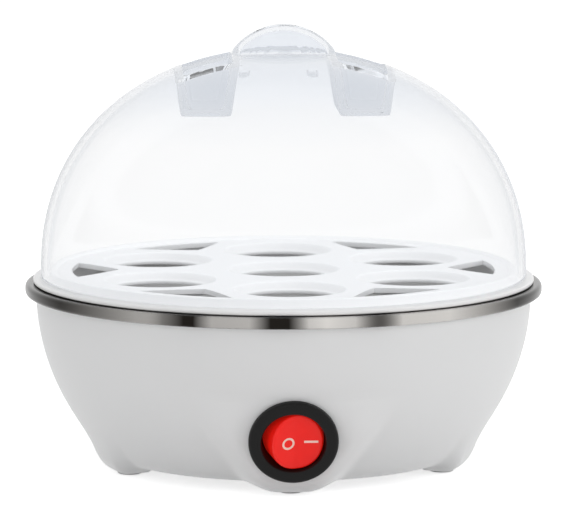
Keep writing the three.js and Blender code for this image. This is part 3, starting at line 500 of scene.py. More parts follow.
# %% Screws and pads
screw_radius, screw_rim, screw_head, screw_head_height, screw_chamfer = 1.3, 2.4, 2.9, 1.8, 0.9
screw_shank_top, screw_point = 11, 13.9
cross_length, cross_width, cross_depth, cross_turn = 3.6, 0.8, 0.8, 0.4
head_top = cover_bottom - fit_gap
head_low = head_top - screw_head_height
screw_profile = rounded([
    (0, head_low), (screw_rim, head_low), (screw_head, head_top - screw_chamfer), (screw_head, head_top),
    (screw_radius, head_top), (screw_radius, screw_shank_top), (0, screw_point),
], [0, 0.7, 0.5, 0.1, 0.1, 0.5, 0])
for i, place in enumerate(screw_places, 1):
    points, faces = turned(screw_profile, 32, place=place)
    screw = make_piece(f"cover_screw_head_{i}", points, faces, slot="fastener_steel")
    cross = [(place[:2], turn) for turn in (cross_turn, cross_turn + math.pi / 2)]
    carve(screw, [bar(cross_length, cross_width, 0, head_top - cross_depth, *where) for where in cross])
    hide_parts(f"cover_screw_{i}")

pad_profile = rounded([
    (0, 0), (pad_radius, 0), (pad_radius, pad_height), (0, pad_height),
], [0, 0.8, 0.2, 0], 5)
for i, place in enumerate(foot_places, 1):
    points, faces = turned(pad_profile, 48, place=place)
    pad = make_piece(f"rubber_pad_{i}", points, faces, slot="pad_rubber")
    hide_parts(f"foot_pad_{i}")

# %% Cord gland
gland_bore, gland_body, gland_flange = 3.4, 5, 7
gland_lip, gland_bevel, gland_round = 2, 1, 0.6
gland_inner, gland_outer = gland_low - fit_gap, gland_high + fit_gap
gland_end = [
    (gland_bore, gland_lip), (gland_body, gland_lip), (gland_flange, gland_bevel), (gland_flange, 0),
    (gland_body, 0),
]
inner_end = [(r, gland_inner - z) for r, z in gland_end]
outer_end = [(r, gland_outer + z) for r, z in gland_end[::-1]]
gland_profile = rounded(inner_end + outer_end, gland_round, closed=True)
gland_grid = turned(gland_profile, 64, closed=True, matrix=gland_frame)
gland = make_piece("cord_bush", *gland_grid, slot="gland_black")
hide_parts("cord_gland")

# %% [markdown]
# ## The seat tray
#
# The tray is a flat plate with seven dished seats, six steam slots, a raised lip that centres the lid, a
# flange and a skirt. The plate is a flat sheet with holes, which no single grid covers, so its outlines are
# handed to a constrained triangulation, once for the top and once for the underside. The dished seats and
# the rim are turned profiles that start on the very same points, so the merge of doubles closes the piece.

# %% Outlines on the tray
seat_mouth, seat_hole, seat_drop, seat_edge, seat_shoulder, seat_round = 19.8, 16.2, 3.2, 0.8, 1, 0.7
lip_height, lip_width = 0.9, 1.7
skirt_inset, skirt_depth, tray_inset = 1.5, 3.1, 2.7
slot_outer_inset, slot_inner_inset, slot_lean, slot_half_angle = 7.7, 7, 2.2, math.radians(14)
plate_low = tray_top - tray_plate
lip_foot = tray_lip_radius - lip_width - lip_height
skirt_radius = pan_mouth_radius - pan_gauge - skirt_inset
skirt_low = tray_bottom - skirt_depth
outer_seats, seat_steps, rim_steps = 6, 72, 180
seat_turns = np.radians(-90 + 360 / outer_seats * np.arange(outer_seats))
slot_turns = seat_turns + math.pi / outer_seats
seat_places = np.concatenate([[(0, 0)], polar(seat_circle, seat_turns)])


def steam_slot(turn):
    """An arc near the lip that narrows to a point between two seats: its two sides are bends."""
    outer, inner = tray_lip_radius - slot_outer_inset, seat_circle + slot_inner_inset
    arc = polar(outer, np.linspace(-slot_half_angle, slot_half_angle, 17))
    corner, point = np.array([inner + slot_lean, slot_lean * 2]), np.array([inner, 0])
    mirrored = np.array([1, -1])
    t = np.linspace(0, 1, 12)[1:, None]
    sides = [bend(arc[-1], corner, point, t), bend(point, corner * mirrored, arc[0], t)[:-1]]
    return spun(np.concatenate([arc, *sides]), turn)


def inside(points, outline):
    """Even-odd test: a point is inside where a ray from it along X crosses the outline an odd number of
    times."""
    x, y = points[:, :1], points[:, 1:]
    x1, y1 = outline[:, 0], outline[:, 1]
    x2, y2 = np.roll(x1, -1), np.roll(y1, -1)
    crossing = (y1 > y) != (y2 > y)
    level = np.where(y2 == y1, 1, y2 - y1)
    return (crossing & (x < x1 + (y - y1) * (x2 - x1) / level)).sum(axis=1) % 2 == 1


print(len(seat_places), "seats and", len(slot_turns), "steam slots of", len(steam_slot(0)), "points each")

# %% Seat tray
def seat_tray():
    """The triangulated plate twice, with the slots' walls, the seats and the rim joined to it. A triangle
    whose middle lies in a seat or a slot is left out."""
    slots = [steam_slot(turn) for turn in slot_turns]
    seats = [polar(seat_mouth, full_turn(seat_steps)) + place for place in seat_places]
    outlines = [polar(lip_foot, full_turn(rim_steps)), *seats, *slots]
    flat = np.concatenate(outlines)
    edges = []
    for outline in outlines:
        first, n = len(edges), len(outline)
        edges += [(first + i, first + (i + 1) % n) for i in range(n)]
    made, _, triangles, *_ = delaunay_2d_cdt([Vector(p) for p in flat], edges, [], 1, 1e-5)
    made = np.array([tuple(p) for p in made])
    triangles = np.array(triangles)
    middles = made[triangles].mean(axis=1)
    open_space = np.zeros(len(middles), bool)
    for outline in outlines[1:]:
        open_space |= inside(middles, outline)
    triangles = triangles[~open_space]
    points = [at_heights(made, tray_top, plate_low)]
    faces = list(triangles) + list(triangles[:, ::-1] + len(made))
    count = 2 * len(made)

    def join(new_points, new_faces):
        """Adds points, and faces whose corners count on from the points so far."""
        nonlocal count
        points.append(new_points)
        faces.extend(np.asarray(new_faces) + count)
        count += len(new_points)

    for slot in slots:
        join(at_heights(slot, plate_low, tray_top), grid_faces(2, len(slot), close_columns=True))
    low, bevel = tray_top - seat_drop, seat_hole + seat_edge
    seat = rounded([
        (seat_mouth, plate_low), (seat_mouth - seat_edge, plate_low), (bevel, low - seat_edge),
        (seat_hole, low - seat_edge), (seat_hole, low + seat_edge / 2), (bevel, low + seat_edge),
        (seat_mouth - seat_shoulder, tray_top), (seat_mouth, tray_top),
    ], seat_round, 5)
    for place in seat_places:
        new_points, new_faces = turned(seat, seat_steps, place=(*place, 0))
        join(new_points, new_faces[:, ::-1])
    edge, skirt_inner = rim_radius - tray_inset, skirt_radius - tray_plate
    lip, lip_top = tray_lip_radius, tray_top + lip_height
    rim = rounded([
        (lip_foot, plate_low), (skirt_inner, plate_low), (skirt_inner, skirt_low), (skirt_radius, skirt_low),
        (skirt_radius, tray_bottom), (edge, tray_bottom), (edge, tray_flange_top), (lip, tray_flange_top),
        (lip, lip_top), (lip - lip_width, lip_top), (lip_foot, tray_top),
    ], [0, 0.5, 0.3, 0.3, 0.6, 0.6, 0.8, 0.5, 0.6, 0.6, 0], 5)
    join(*turned(rim, rim_steps))
    return np.concatenate(points), faces


egg_tray = make_piece("seat_tray", *seat_tray(), body="tray", slot="tray_plastic")
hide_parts("egg_tray")

# %% [markdown]
# ## The clear lid
#
# The lid is a blown dome with a cap-shaped grip pushed up from inside, and a finger pocket pressed in at
# each side of it. A turned dome with holes cut in it would have hard seams. Here the outside and the inside
# are each a height over the plan: the dome, joined to the grip with a smooth maximum and to the pockets
# with a smooth minimum, so that every edge has the small radius of a moulding. Near the rim the dome stands
# upright, where a height can't describe it, so the middle is a square-cornered grid whose lines crowd
# together at the pockets' walls, and the rest is rings that run from the grid's edge down to the rim.

# %% Lid height
grip_half_length, grip_half_depth, grip_arch, grip_stand = 17.9, 10.5, 9.3, 8.4
grip_radius = (grip_half_length ** 2 + grip_arch ** 2) / (2 * grip_arch)
pocket_inner, pocket_outer, pocket_half_length, pocket_depth = 20.4, 33, 17, 19
pocket_lean, pocket_draft = 0.16, 9
grip_blend, pocket_edge_blend, pocket_floor_blend = 0.6, 1.2, 2.5
pocket_side_blend, pocket_end_blend = 6, 3 * pocket_draft


def smooth_max(a, b, blend):
    """The larger of two, rounded where they are within blend of each other: max + h^2 blend / 4, where h is
    1 - gap / blend."""
    h = np.clip(1 - np.abs(a - b) / blend, 0, 1)
    return np.maximum(a, b) + h * h * blend / 4


def smooth_min(a, b, blend):
    """The smaller of two, rounded in the same way: both signs are turned before and after."""
    return -smooth_max(-a, -b, blend)


def lid_height(x, y, inset):
    """The lid's height over (x, y), moved into the wall by inset: a superellipse dome of
    lid_shoulder + H (1 - (r / R)^p)^(1 / p), a ball cap for the grip, and two pockets with steep walls.
    Outside its circle the ball's height goes on downwards, so that the cap ends where it meets the dome."""
    radius, rise = lid_radius - inset, lid_rise - inset
    r = np.minimum(np.hypot(x, y) / radius, 1)
    dome = lid_shoulder + rise * (1 - r ** lid_power) ** (1 / lid_power)
    ball = grip_radius - inset
    narrow = (grip_half_length - inset) / (grip_half_depth - inset)
    under = ball ** 2 - x ** 2 - (narrow * y) ** 2
    cap = lid_apex + grip_stand - grip_radius + np.sign(under) * np.sqrt(np.abs(under))
    top = smooth_max(dome, cap, grip_blend)
    across = np.abs(x)
    inner = (pocket_inner - inset - across) / pocket_lean
    outer = (across - pocket_outer - inset) * pocket_draft
    ends = (np.abs(y) - pocket_half_length - inset) * pocket_draft
    walls = smooth_max(smooth_max(inner, outer, pocket_side_blend), ends, pocket_end_blend)
    pocket = lid_apex - pocket_depth - inset + smooth_max(walls, 0, pocket_floor_blend)
    return smooth_min(top, pocket, pocket_edge_blend)


pocket_middle = (pocket_inner + pocket_outer) / 2
grip_top, pocket_floor = [round(float(lid_height(x, 0, 0)), 1) for x in (0, pocket_middle)]
print("grip's top at", grip_top, "mm, pockets' floors at", pocket_floor, "mm")

# %% Lid surfaces
core_half_x, core_half_y = 41, 27
core_columns, core_rows, ring_rows = 131, 93, 40
grip_edge_line, pocket_edge_line = 18.6, 0.8


def crowded_lines(half, count, centres, width=1.2, pull=5):
    """Grid lines from -half to half, closer by the centres: their running density, which is
    1 + pull * exp(-(d / width)^2), is added up and read backwards at even steps."""
    fine = np.linspace(-half, half, 4001)
    density = 1 + sum(pull * np.exp(-((np.abs(fine) - c) / width) ** 2) for c in centres)
    total = np.concatenate([[0], np.cumsum((density[1:] + density[:-1]) / 2)])
    lines = np.interp(np.linspace(0, total[-1], count), total, fine)
    return (lines - lines[::-1]) / 2


def lid_surface(inset):
    """Points and faces of one skin: the core grid, then rings from its edge to the shoulder."""
    radius, rise = lid_radius - inset, lid_rise - inset
    beyond = inset + pocket_edge_line
    x_lines = crowded_lines(core_half_x, core_columns, [grip_edge_line, pocket_outer + beyond])
    y_lines = crowded_lines(core_half_y, core_rows, [pocket_half_length + beyond])
    x, y = np.meshgrid(x_lines, y_lines)
    core = np.stack([x, y, lid_height(x, y, inset)], axis=-1).reshape(-1, 3)
    index = np.arange(core_rows * core_columns).reshape(core_rows, core_columns)
    edge = np.concatenate([index[0, :-1], index[:-1, -1], index[-1, :0:-1], index[:0:-1, 0]])
    start = core[edge]
    angle = np.unwrap(np.arctan2(start[:, 1], start[:, 0]))
    even = angle[0] + np.arange(len(edge)) / len(edge) * 2 * np.pi
    steep = np.arccos((np.hypot(start[:, 0], start[:, 1]) / radius) ** (lid_power / 2))
    share = np.linspace(0, 1, ring_rows + 1)[1:, None]
    t = steep * (1 - share)
    r = radius * np.cos(t) ** (2 / lid_power)
    z = lid_shoulder + rise * np.sin(t) ** (2 / lid_power)
    around = angle + (even - angle) * share
    rings = polar(r, around, z).reshape(-1, 3)
    rows = np.concatenate([edge[None], len(core) + np.arange(len(rings)).reshape(ring_rows, -1)])
    ahead = np.roll(rows, -1, axis=1)
    ring_faces = np.stack([rows[:-1], rows[1:], ahead[1:], ahead[:-1]], axis=-1).reshape(-1, 4)
    faces = np.concatenate([grid_faces(core_rows, core_columns), ring_faces])
    return np.concatenate([core, rings]), faces, even


print("a skin is a grid of", core_columns, "by", core_rows, "points and", ring_rows, "rings")

# %% Clear lid
def clear_lid():
    """Both skins, and between their lowest rings the turned foot that closes the wall."""
    outside, outside_faces, even = lid_surface(0)
    inside_points, inside_faces, _ = lid_surface(lid_wall)
    bore = lid_radius - lid_wall
    foot = rounded([
        (lid_radius, lid_shoulder), (lid_radius, lid_bottom), (bore, lid_bottom), (bore, lid_shoulder),
    ], [0, 0.7, 0.7, 0], 5)
    ring = polar(foot[:, 0, None], even, foot[:, 1, None]).reshape(-1, 3)
    faces = np.concatenate([
        outside_faces, inside_faces[:, ::-1] + len(outside),
        grid_faces(len(foot), len(even), close_columns=True)[:, ::-1] + len(outside) + len(inside_points),
    ])
    return np.concatenate([outside, inside_points, ring]), faces


lid = make_piece("clear_lid", *clear_lid(), body="lid", slot="lid_clear", sharp_degrees=60)
lid_vent_radius, lid_vent_side, lid_vent_back = 2, 12, 42
carve(lid, [
    drum(lid_vent_radius, lid_shoulder, lid_apex, steps=32, place=(x, lid_vent_back, 0))
    for x in (-lid_vent_side, lid_vent_side)
])
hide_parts("lid_dome")

# %% [markdown]
# ## The rocker switch
#
# The switch is a round black housing that snaps into the base, with a red rocker between two pins. The
# rocker's face is a shallow valley, tipped so that the side with the dash is pressed in. It is made level
# in its own frame and then turned with the whole switch. The ring and the dash are printed on the real one;
# here they are thin raised pieces that follow the valley, so that they stay crisp from close by.

# %% Switch housing
barrel_radius, barrel_wall, barrel_depth, barrel_floor = 12.3, 1.7, 18.4, 1.6
bezel_radius, bezel_height = 14.9, 2.6
bore, bezel_top = barrel_radius - barrel_wall, fit_gap + bezel_height
housing_profile = rounded([
    (0, -barrel_depth), (barrel_radius, -barrel_depth), (barrel_radius, fit_gap), (bezel_radius, fit_gap),
    (bezel_radius, bezel_top), (bore, bezel_top), (bore, barrel_floor - barrel_depth),
    (0, barrel_floor - barrel_depth),
], [0, 0.8, 0.1, 0.3, 1.5, 1.1, 0.8, 0], 8)
housing_grid = turned(housing_profile, matrix=switch_frame)
housing = make_piece("switch_bezel", *housing_grid, slot="switch_black")
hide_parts("switch_housing")

# %% Rocker
rocker_tilt, rocker_crest, rocker_skirt, rocker_fillet, pivot_depth = math.radians(11), 6, 2.5, 0.9, 4.4
valley_round, valley_drop = 1.2, 0.9
rocker_steps, face_rings, fillet_rings, side_rings = 128, 30, 7, 10
reach = bore - play
lean, level = math.sin(rocker_tilt), math.cos(rocker_tilt)
rocker_frame = switch_frame @ np.array(
    [[level, 0, lean, 0], [0, 1, 0, 0], [-lean, 0, level, -pivot_depth], [0, 0, 0, 1]], float,
)


def rocker_face(x):
    """The valley's height: crest + tan(tilt) * |x|, with |x| rounded as sqrt(x^2 + round^2) - drop."""
    return rocker_crest + math.tan(rocker_tilt) * (np.sqrt(x ** 2 + valley_round ** 2) - valley_drop)


def half_width(z):
    """Half the width at a height, so that the tipped rocker still stays within its reach."""
    return (reach - lean * np.abs(z)) / level


def rocker():
    """Rings from the face's middle to its edge, over the edge's fillet and down the sides to the skirt."""
    angle = full_turn(rocker_steps)
    face_share = np.linspace(0, 1, face_rings)[:, None]
    x = face_share * (half_width(rocker_face(np.cos(angle) * reach)) - rocker_fillet) * np.cos(angle)
    y = face_share * (reach - rocker_fillet) * np.sin(angle)
    rings = list(np.stack([x, y, rocker_face(x)], axis=-1))
    edge = rings[-1]
    for turn in np.linspace(0, np.pi / 2, fillet_rings)[1:]:
        out = polar(rocker_fillet * math.sin(turn), angle)
        rings.append(np.column_stack([edge[:, :2] + out, edge[:, 2] - rocker_fillet * (1 - math.cos(turn))]))
    upper = rings[-1][:, 2]
    for share in np.linspace(0, 1, side_rings)[1:]:
        z = upper * (1 - share) - rocker_skirt * share
        rings.append(np.column_stack([half_width(z) * np.cos(angle), reach * np.sin(angle), z]))
    rings.append(rings[-1] * [0, 0, 1])
    faces = grid_faces(len(rings), rocker_steps, close_columns=True)
    return placed(np.concatenate(rings), rocker_frame), faces


red_rocker = make_piece("red_rocker", *rocker(), body="rocker", slot="rocker_red", sharp_degrees=50)
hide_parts("switch_rocker")

# %% Marks on the rocker
mark_height, mark_sink = 0.1, 0.15
mark_section = np.array([(-1, -1), (1, -1), (1, 1), (-1, 1)])
ring_place, ring_radius, ring_width, ring_steps = (-3.05, 0), 1.8, 0.7, 48
dash_place, dash_length, dash_width, dash_steps = (4.6, 0.15), 4.6, 0.8, 12


def raised(flat, place):
    """Lifts rows of four flat corners onto the rocker, two above and two below the valley at their x."""
    flat = flat + place
    z = rocker_face(flat[..., 0]) + np.where(mark_section[:, 1] > 0, mark_height, -mark_sink)
    return placed(np.concatenate([flat, z[..., None]], axis=-1).reshape(-1, 3), rocker_frame)


ring = polar(ring_radius + mark_section[:, 0] * ring_width / 2, full_turn(ring_steps)[:, None])
faces = grid_faces(ring_steps, 4, close_rows=True, close_columns=True)
off_ring = make_piece("off_ring", raised(ring, ring_place), faces, body="rocker", slot="rocker_red")

along = np.linspace(-dash_length / 2, dash_length / 2, dash_steps)[:, None]
dash = np.stack(np.broadcast_arrays(along, mark_section[:, 0] * dash_width / 2), axis=-1)
ends = [range(4), range(4 * dash_steps - 1, 4 * dash_steps - 5, -1)]
faces = list(grid_faces(dash_steps, 4, close_columns=True)) + ends
on_dash = make_piece("on_dash", raised(dash, dash_place), faces, body="rocker", slot="rocker_red")

# %% [markdown]
# ## Finishes
#
# A finish is a small network of nodes. Building one socket by socket is long to read, so two helpers
# shorten it: a class that wraps an output socket, so that Python's own operators add the Math nodes, and
# one method that adds any other node. Patterns read Object coordinates, which are metres here because every
# piece sits at the origin.

# %% Wires
class Wire:
    """One output socket. Arithmetic on wires and numbers adds Math nodes to its finish."""

    def __init__(self, finish, socket):
        self.finish, self.socket = finish, socket

    def math(self, operation, other=0, first=None):
        """A Math node on this value and another. Where a first value is given, this one comes second."""
        values = {0: self, 1: other} if first is None else {0: first, 1: self}
        return self.finish.node("Math", values, operation=operation)

    def ramp(self, start=0, slope=1):
        """(value - start) * slope, held between 0 and 1."""
        return ((self - start) * slope).math("MAXIMUM", 0).math("MINIMUM", 1)


# each operator and its reflected form, for a number that stands before the wire
operators = {"add": "ADD", "sub": "SUBTRACT", "mul": "MULTIPLY", "truediv": "DIVIDE", "pow": "POWER"}
for word, operation in operators.items():
    setattr(Wire, f"__{word}__", lambda self, other, kind=operation: self.math(kind, other))
    setattr(Wire, f"__r{word}__", lambda self, other, kind=operation: self.math(kind, first=other))
print("operators on wires:", *operators)

# %% Nodes of a finish
class Finish:
    """A material, or a world, with its nodes."""

    def __init__(self, name, owner=None, end="OutputMaterial"):
        self.owner = owner or bpy.data.materials.new(name)
        self.owner.use_nodes = True
        self.tree = self.owner.node_tree
        self.tree.nodes.clear()
        self.end = self.tree.nodes.new("ShaderNode" + end)

    def node(self, kind, sockets=None, output=None, **settings):
        """Adds a node of any kind, fills its sockets and gives one output, or the first that is enabled."""
        made = self.tree.nodes.new("ShaderNode" + kind)
        for key, value in settings.items():
            setattr(made, key, value)
        for key, value in (sockets or {}).items():
            if isinstance(value, Wire):
                self.tree.links.new(value.socket, made.inputs[key])
            else:
                made.inputs[key].default_value = value
        outputs = [socket for socket in made.outputs if socket.enabled]
        return Wire(self, made.outputs[output] if output is not None else outputs[0])

    def place(self, scale=(1, 1, 1)):
        """Object coordinates, stretched by a scale on each axis."""
        where = self.node("TexCoord", output="Object")
        return self.node("VectorMath", {0: where, 1: scale}, operation="MULTIPLY")

    def axis(self, name):
        """One of the Object coordinates: X, Y or Z."""
        return self.node("SeparateXYZ", {0: self.place()}, name)

    def noise(self, scale, detail=2, where=None):
        """Soft noise from 0 to 1, with so many features per metre."""
        sockets = {"Vector": where or self.place(), "Scale": scale, "Detail": detail}
        return self.node("TexNoise", sockets)

    def mixed(self, factor, a, b):
        """A colour between two, by a factor."""
        return self.node("Mix", {"Factor": factor, "A": a, "B": b}, "Result", data_type="RGBA")

    def bump(self, height, strength, distance):
        """The normal of a surface that a height from 0 to 1 lifts by a distance in metres."""
        return self.node("Bump", {"Height": height, "Strength": strength, "Distance": distance})

    def ray(self, question):
        """What Light Path says of the ray, such as Is Camera Ray."""
        return self.node("LightPath", output=question)

    def shown(self):
        """One for a ray from the camera, off a gloss or through clear plastic: they show white ground."""
        bent = self.ray("Is Glossy Ray").math("MAXIMUM", self.ray("Is Transmission Ray"))
        return bent.math("MAXIMUM", self.ray("Is Camera Ray"))

    def principled(self, sockets):
        """Blender's general surface shader."""
        return self.node("BsdfPrincipled", sockets)

    def light(self, kind, tone, strength):
        """An emission, or a world's background, of one colour."""
        return self.node(kind, {"Color": tone, "Strength": strength})

    def blend(self, factor, a, b):
        """A shader between two, by a factor."""
        return self.node("MixShader", {0: factor, 1: a, 2: b})

    def finish(self, shader):
        """Links the last shader to the output."""
        self.tree.links.new(shader.socket, self.end.inputs["Surface"])
        return self.owner


print("a finish can add:", *[word for word in vars(Finish) if not word.startswith("_")])

# %% Colours
def colour(red, green, blue):
    """Linear light from an sRGB colour out of 255: ((v / 255 + 0.055) / 1.055)^2.4 for each part."""
    return tuple(((v / 255 + 0.055) / 1.055) ** 2.4 for v in (red, green, blue)) + (1,)


def shade(value, warmth=0):
    """A grey, a little warmer (+) or cooler (-) by warmth."""
    grey = colour(value, value, value)[0]
    return (grey * (1 + warmth), grey, grey * (1 - warmth), 1)


def darkened(tone, share):
    """A colour with each part multiplied by a share."""
    return tuple(v * share for v in tone[:3]) + (1,)


white = (1, 1, 1, 1)
print("a grey of 128 is", round(shade(128)[0], 3), "in linear light")

# %% [markdown]
# ### Moulded plastic
#
# Glossy moulded plastic isn't perfectly even: its colour drifts a little with the wall, its gloss varies
# softly, and the surface has a faint ripple of less than a hundredth of a millimetre. One function makes
# every moulded finish from a colour, a roughness and the size of that ripple.

# %% Moulded plastics
ripple_depth = 0.00004


def moulded(name, tone, roughness, ripple, drift, ior=1.5):
    """Plastic with a broad cloud in its colour and gloss, a fine grain and a soft ripple."""
    finish = Finish(name)
    cloud = finish.noise(14, 3)
    grain = finish.noise(900, 3)
    wave = finish.noise(120, 2)
    return finish.finish(finish.principled({
        "Base Color": finish.mixed(cloud, tone, darkened(tone, 1 - drift * 2)),
        "Roughness": roughness - 0.05 + cloud * 0.06 + grain * 0.04,
        "Normal": finish.bump(wave + grain * 0.25, ripple, ripple_depth), "IOR": ior,
    }))


finishes = {
    "body_plastic": moulded("white_body_plastic", shade(228, -0.004), 0.3, 0.35, 0.02),
    "tray_plastic": moulded("white_tray_plastic", shade(243), 0.3, 0.25, 0.015),
    "switch_black": moulded("black_switch_nylon", shade(14), 0.45, 0.5, 0.1, ior=1.3),
    "gland_black": moulded("black_bush_rubber", shade(34), 0.62, 0.6, 0.1),
    "pad_rubber": moulded("pale_pad_rubber", shade(208), 0.75, 0.8, 0.05),
    "thermostat_black": moulded("phenolic_black", shade(40), 0.5, 0.5, 0.1),
    "ceramic_white": moulded("fired_ceramic", colour(232, 227, 214), 0.6, 0.9, 0.05),
    "wire_red": moulded("red_silicone_sleeve", colour(150, 34, 26), 0.5, 0.4, 0.05),
    "wire_blue": moulded("blue_silicone_sleeve", colour(34, 74, 150), 0.5, 0.4, 0.05),
    "wire_green": moulded("green_silicone_sleeve", colour(88, 148, 44), 0.5, 0.4, 0.05),
    "lamp_glass": moulded("neon_lamp_glass", colour(240, 214, 190), 0.08, 0.1, 0.02),
}
print(len(finishes), "moulded finishes")

# %% [markdown]
# ### Red rocker
#
# The rocker is a tinted clear red, so light enters it and comes back out a deeper red at its thick middle.
# A little subsurface scattering gives that without the cost of real glass. The side with the dash is
# pressed, so the lamp behind it is on, and a faint emission stands for its light. The marks are pale ink.

# %% Rocker finishes
def tinted_rocker():
    """Clouded red between two near tones, with scattering that carries red 4 mm and the rest far less."""
    finish = Finish("tinted_red_rocker")
    cloud = finish.noise(160, 2)
    return finish.finish(finish.principled({
        "Base Color": finish.mixed(cloud, colour(240, 24, 16), colour(226, 16, 12)),
        "Roughness": 0.3 + cloud * 0.08,
        "Normal": finish.bump(finish.noise(700, 2), 0.2, 0.00003),
        "Subsurface Weight": 0.35, "Subsurface Radius": (0.004, 0.0006, 0.0004), "Subsurface Scale": 1.0,
        "IOR": 1.4, "Emission Color": colour(255, 40, 24), "Emission Strength": 0.16,
    }))


finishes["rocker_red"] = tinted_rocker()
finishes["mark_ink"] = moulded("pale_mark_ink", colour(255, 214, 202), 0.45, 0.2, 0.02)
print(len(finishes), "finishes with the rocker's two")

# %% [markdown]
# ### Metals
#
# The rim band is rolled and polished, so it is close to a mirror with very fine lines that run round it.
# The pan is drawn, which leaves coarser rings. Both patterns are noise that changes fast with the height
# and the distance from the axis, and not at all round it. The band also mirrors the room, and that
# reflection is painted into its colour. Real lamps and dark screens could be set round it, but a painted
# pattern is quicker to fit: three dark patches at the front, the broadest on the left, a painted glint just
# right of the middle and dark ends, with the right side lighter than the left.

# %% Metals
# the band's painted reflection: where its dark patches end, where its dark ends start, where its painted
# glint sits, and the dark tone it paints
patches_end, ends_start, painted_glint_place = 0.58, 0.59, 0.12
painted_dark_tone = (0.016, 0.014, 0.012, 1)


def painted_room_reflection(finish, count=16.2):
    """A painted reflection: how light the mirrored room is round the band. The angle is measured from the
    front, and x runs from -1 to 1 over the band. Dark patches follow 0.9 cos(count * angle) + 0.2 - 0.75 x,
    with a little noise in the angle. Outside them the light is 0.7 + 0.36 x, and more in the painted glint."""
    x = finish.axis("X") / (rim_radius * MM)
    y = finish.axis("Y") / (rim_radius * MM)
    angle = x.math("ARCTAN2", y * -1) * count + finish.noise(18, 1) * 0.8 + 0.5
    wave = angle.math("COSINE") * 0.9 + 0.2 - x * 0.75
    side = x.math("ABSOLUTE")
    dark = (wave.ramp() * side.ramp(patches_end, -6)).math("MAXIMUM", side.ramp(ends_start, 3.6))
    glint = (1 - (x - painted_glint_place).math("ABSOLUTE") * 9).ramp()
    return (1 - dark) * (0.7 + x * 0.36 + glint * 0.25)


def ringed_steel(name, tone, roughness, lines, strength, painted_reflection=False):
    """Steel with turning lines: noise of (distance from the axis, height), so each line is a whole circle.
    Where asked, a painted reflection of the room is mixed into its colour.
    """
    finish = Finish(name)
    distance = finish.node("VectorMath", {0: finish.place((1, 1, 0))}, "Value", operation="LENGTH")
    across = finish.node("CombineXYZ", {0: distance, 1: finish.axis("Z")})
    fine = finish.noise(lines, 3, across)
    cloud = finish.noise(40, 2)
    base = finish.mixed(fine, tone, darkened(tone, 0.86))
    # painted reflection of the room: light and dark patches and a glint mixed into the band's colour
    if painted_reflection:
        base = finish.mixed(painted_room_reflection(finish), painted_dark_tone, base)
    return finish.finish(finish.principled({
        "Base Color": base, "Metallic": 1.0,
        "Roughness": roughness + fine * 0.08 + cloud * 0.04,
        "Normal": finish.bump(fine, strength, 0.00002),
    }))


def plain_metal(name, tone, roughness, grain_scale, strength):
    """Metal whose colour, roughness and surface all follow one fine grain."""
    finish = Finish(name)
    grain = finish.noise(grain_scale, 3)
    return finish.finish(finish.principled({
        "Base Color": finish.mixed(grain, tone, darkened(tone, 0.85)), "Metallic": 1.0,
        "Roughness": roughness + grain * 0.12,
        "Normal": finish.bump(grain, strength, 0.00005),
    }))


finishes.update({
    # the rim band's colour carries a painted reflection of the room
    "rim_steel": ringed_steel("polished_rim_steel", colour(222, 219, 215), 0.12, 2500, 0.15, painted_reflection=True),
    "pan_steel": ringed_steel("drawn_pan_steel", colour(205, 204, 202), 0.22, 1400, 0.4),
    "fastener_steel": plain_metal("zinc_plated_steel", colour(190, 192, 196), 0.28, 400, 0.3),
    "plate_aluminium": plain_metal("cast_aluminium", colour(178, 180, 184), 0.42, 700, 0.7),
    "terminal_brass": plain_metal("stamped_brass", colour(214, 178, 98), 0.26, 500, 0.3),
})
print(len(finishes), "finishes with the metals")

# %% [markdown]
# ### The clear lid's plastic
#
# Clear plastic could be a thin see-through colour, but only a glass shader bends what is behind the grip.
# Its refraction is a little lower than the plastic's, because the real wall is thinner there than a solid
# moulding and bends less. Glass casts a dark shadow in a path tracer unless the light can pass it, so rays
# that only ask for shadow see it as nearly transparent. Seen edge on, the wall is many times thicker, and
# its slight cloudiness shows there as a cool grey, which Layer Weight gives. The crown, with the grip and
# the pockets, has a tint of its own that stays light there. A ray caught inside the wall would be given up
# and show black, so from its fifth hit on it sees a pale room. In a room that is white all round, clear
# plastic would have no outline, so the wall is hazier where it is edge-on.

# %% Clear plastic
crown_height, crown_slope = 0.115, 60
outline_start, outline_slope, outline_share = 0.66, 8, 0.45
last_clear_hit = 3.5


def clear_plastic():
    """Glass with a cloudy share from haze and outline. A lost ray sees the pale room, a shadow ray passes."""
    finish = Finish("clear_lid_plastic")
    edge = finish.node("LayerWeight", {"Blend": 0.35}, "Facing")
    haze = finish.noise(9, 2)
    crown = finish.axis("Z").ramp(crown_height, crown_slope)
    wall = finish.mixed(edge ** 5, (0.998, 0.999, 1, 1), colour(180, 185, 192))
    thick = finish.mixed(edge ** 4, colour(245, 247, 250), colour(228, 231, 236))
    glass = finish.principled({
        "Base Color": finish.mixed(crown, wall, thick),
        "Roughness": 0.03 + haze * 0.03,
        "Normal": finish.bump(finish.noise(60, 2), 0.04, 0.00003),
        "Transmission Weight": 1.0, "IOR": 1.3,
    })
    cloudy = finish.principled({"Base Color": colour(204, 209, 217), "Roughness": 0.4})
    outline = edge.ramp(outline_start, outline_slope) * (1 - crown) * outline_share
    moulding = finish.blend(0.006 + haze * 0.012 + outline, glass, cloudy)
    deep = finish.ray("Ray Depth").math("GREATER_THAN", last_clear_hit)
    lost = finish.light("Emission", colour(224, 226, 229), 1.0)
    seen = finish.blend(deep * (1 - edge ** 4 * 0.5), moulding, lost)
    passing = finish.node("BsdfTransparent", {"Color": (0.985, 0.987, 0.99, 1)})
    return finish.finish(finish.blend(finish.ray("Is Shadow Ray"), seen, passing))


finishes["lid_clear"] = clear_plastic()
print(len(finishes), "finishes with the lid's")

# %% [markdown]
# A finish could be handed over piece by piece, but each piece already says which one it wants: the new ones
# carry the slot that they were made with, and the CAD's own parts take the slot that the record names. Only
# the two marks lie on the rocker's slot and take the ink instead.

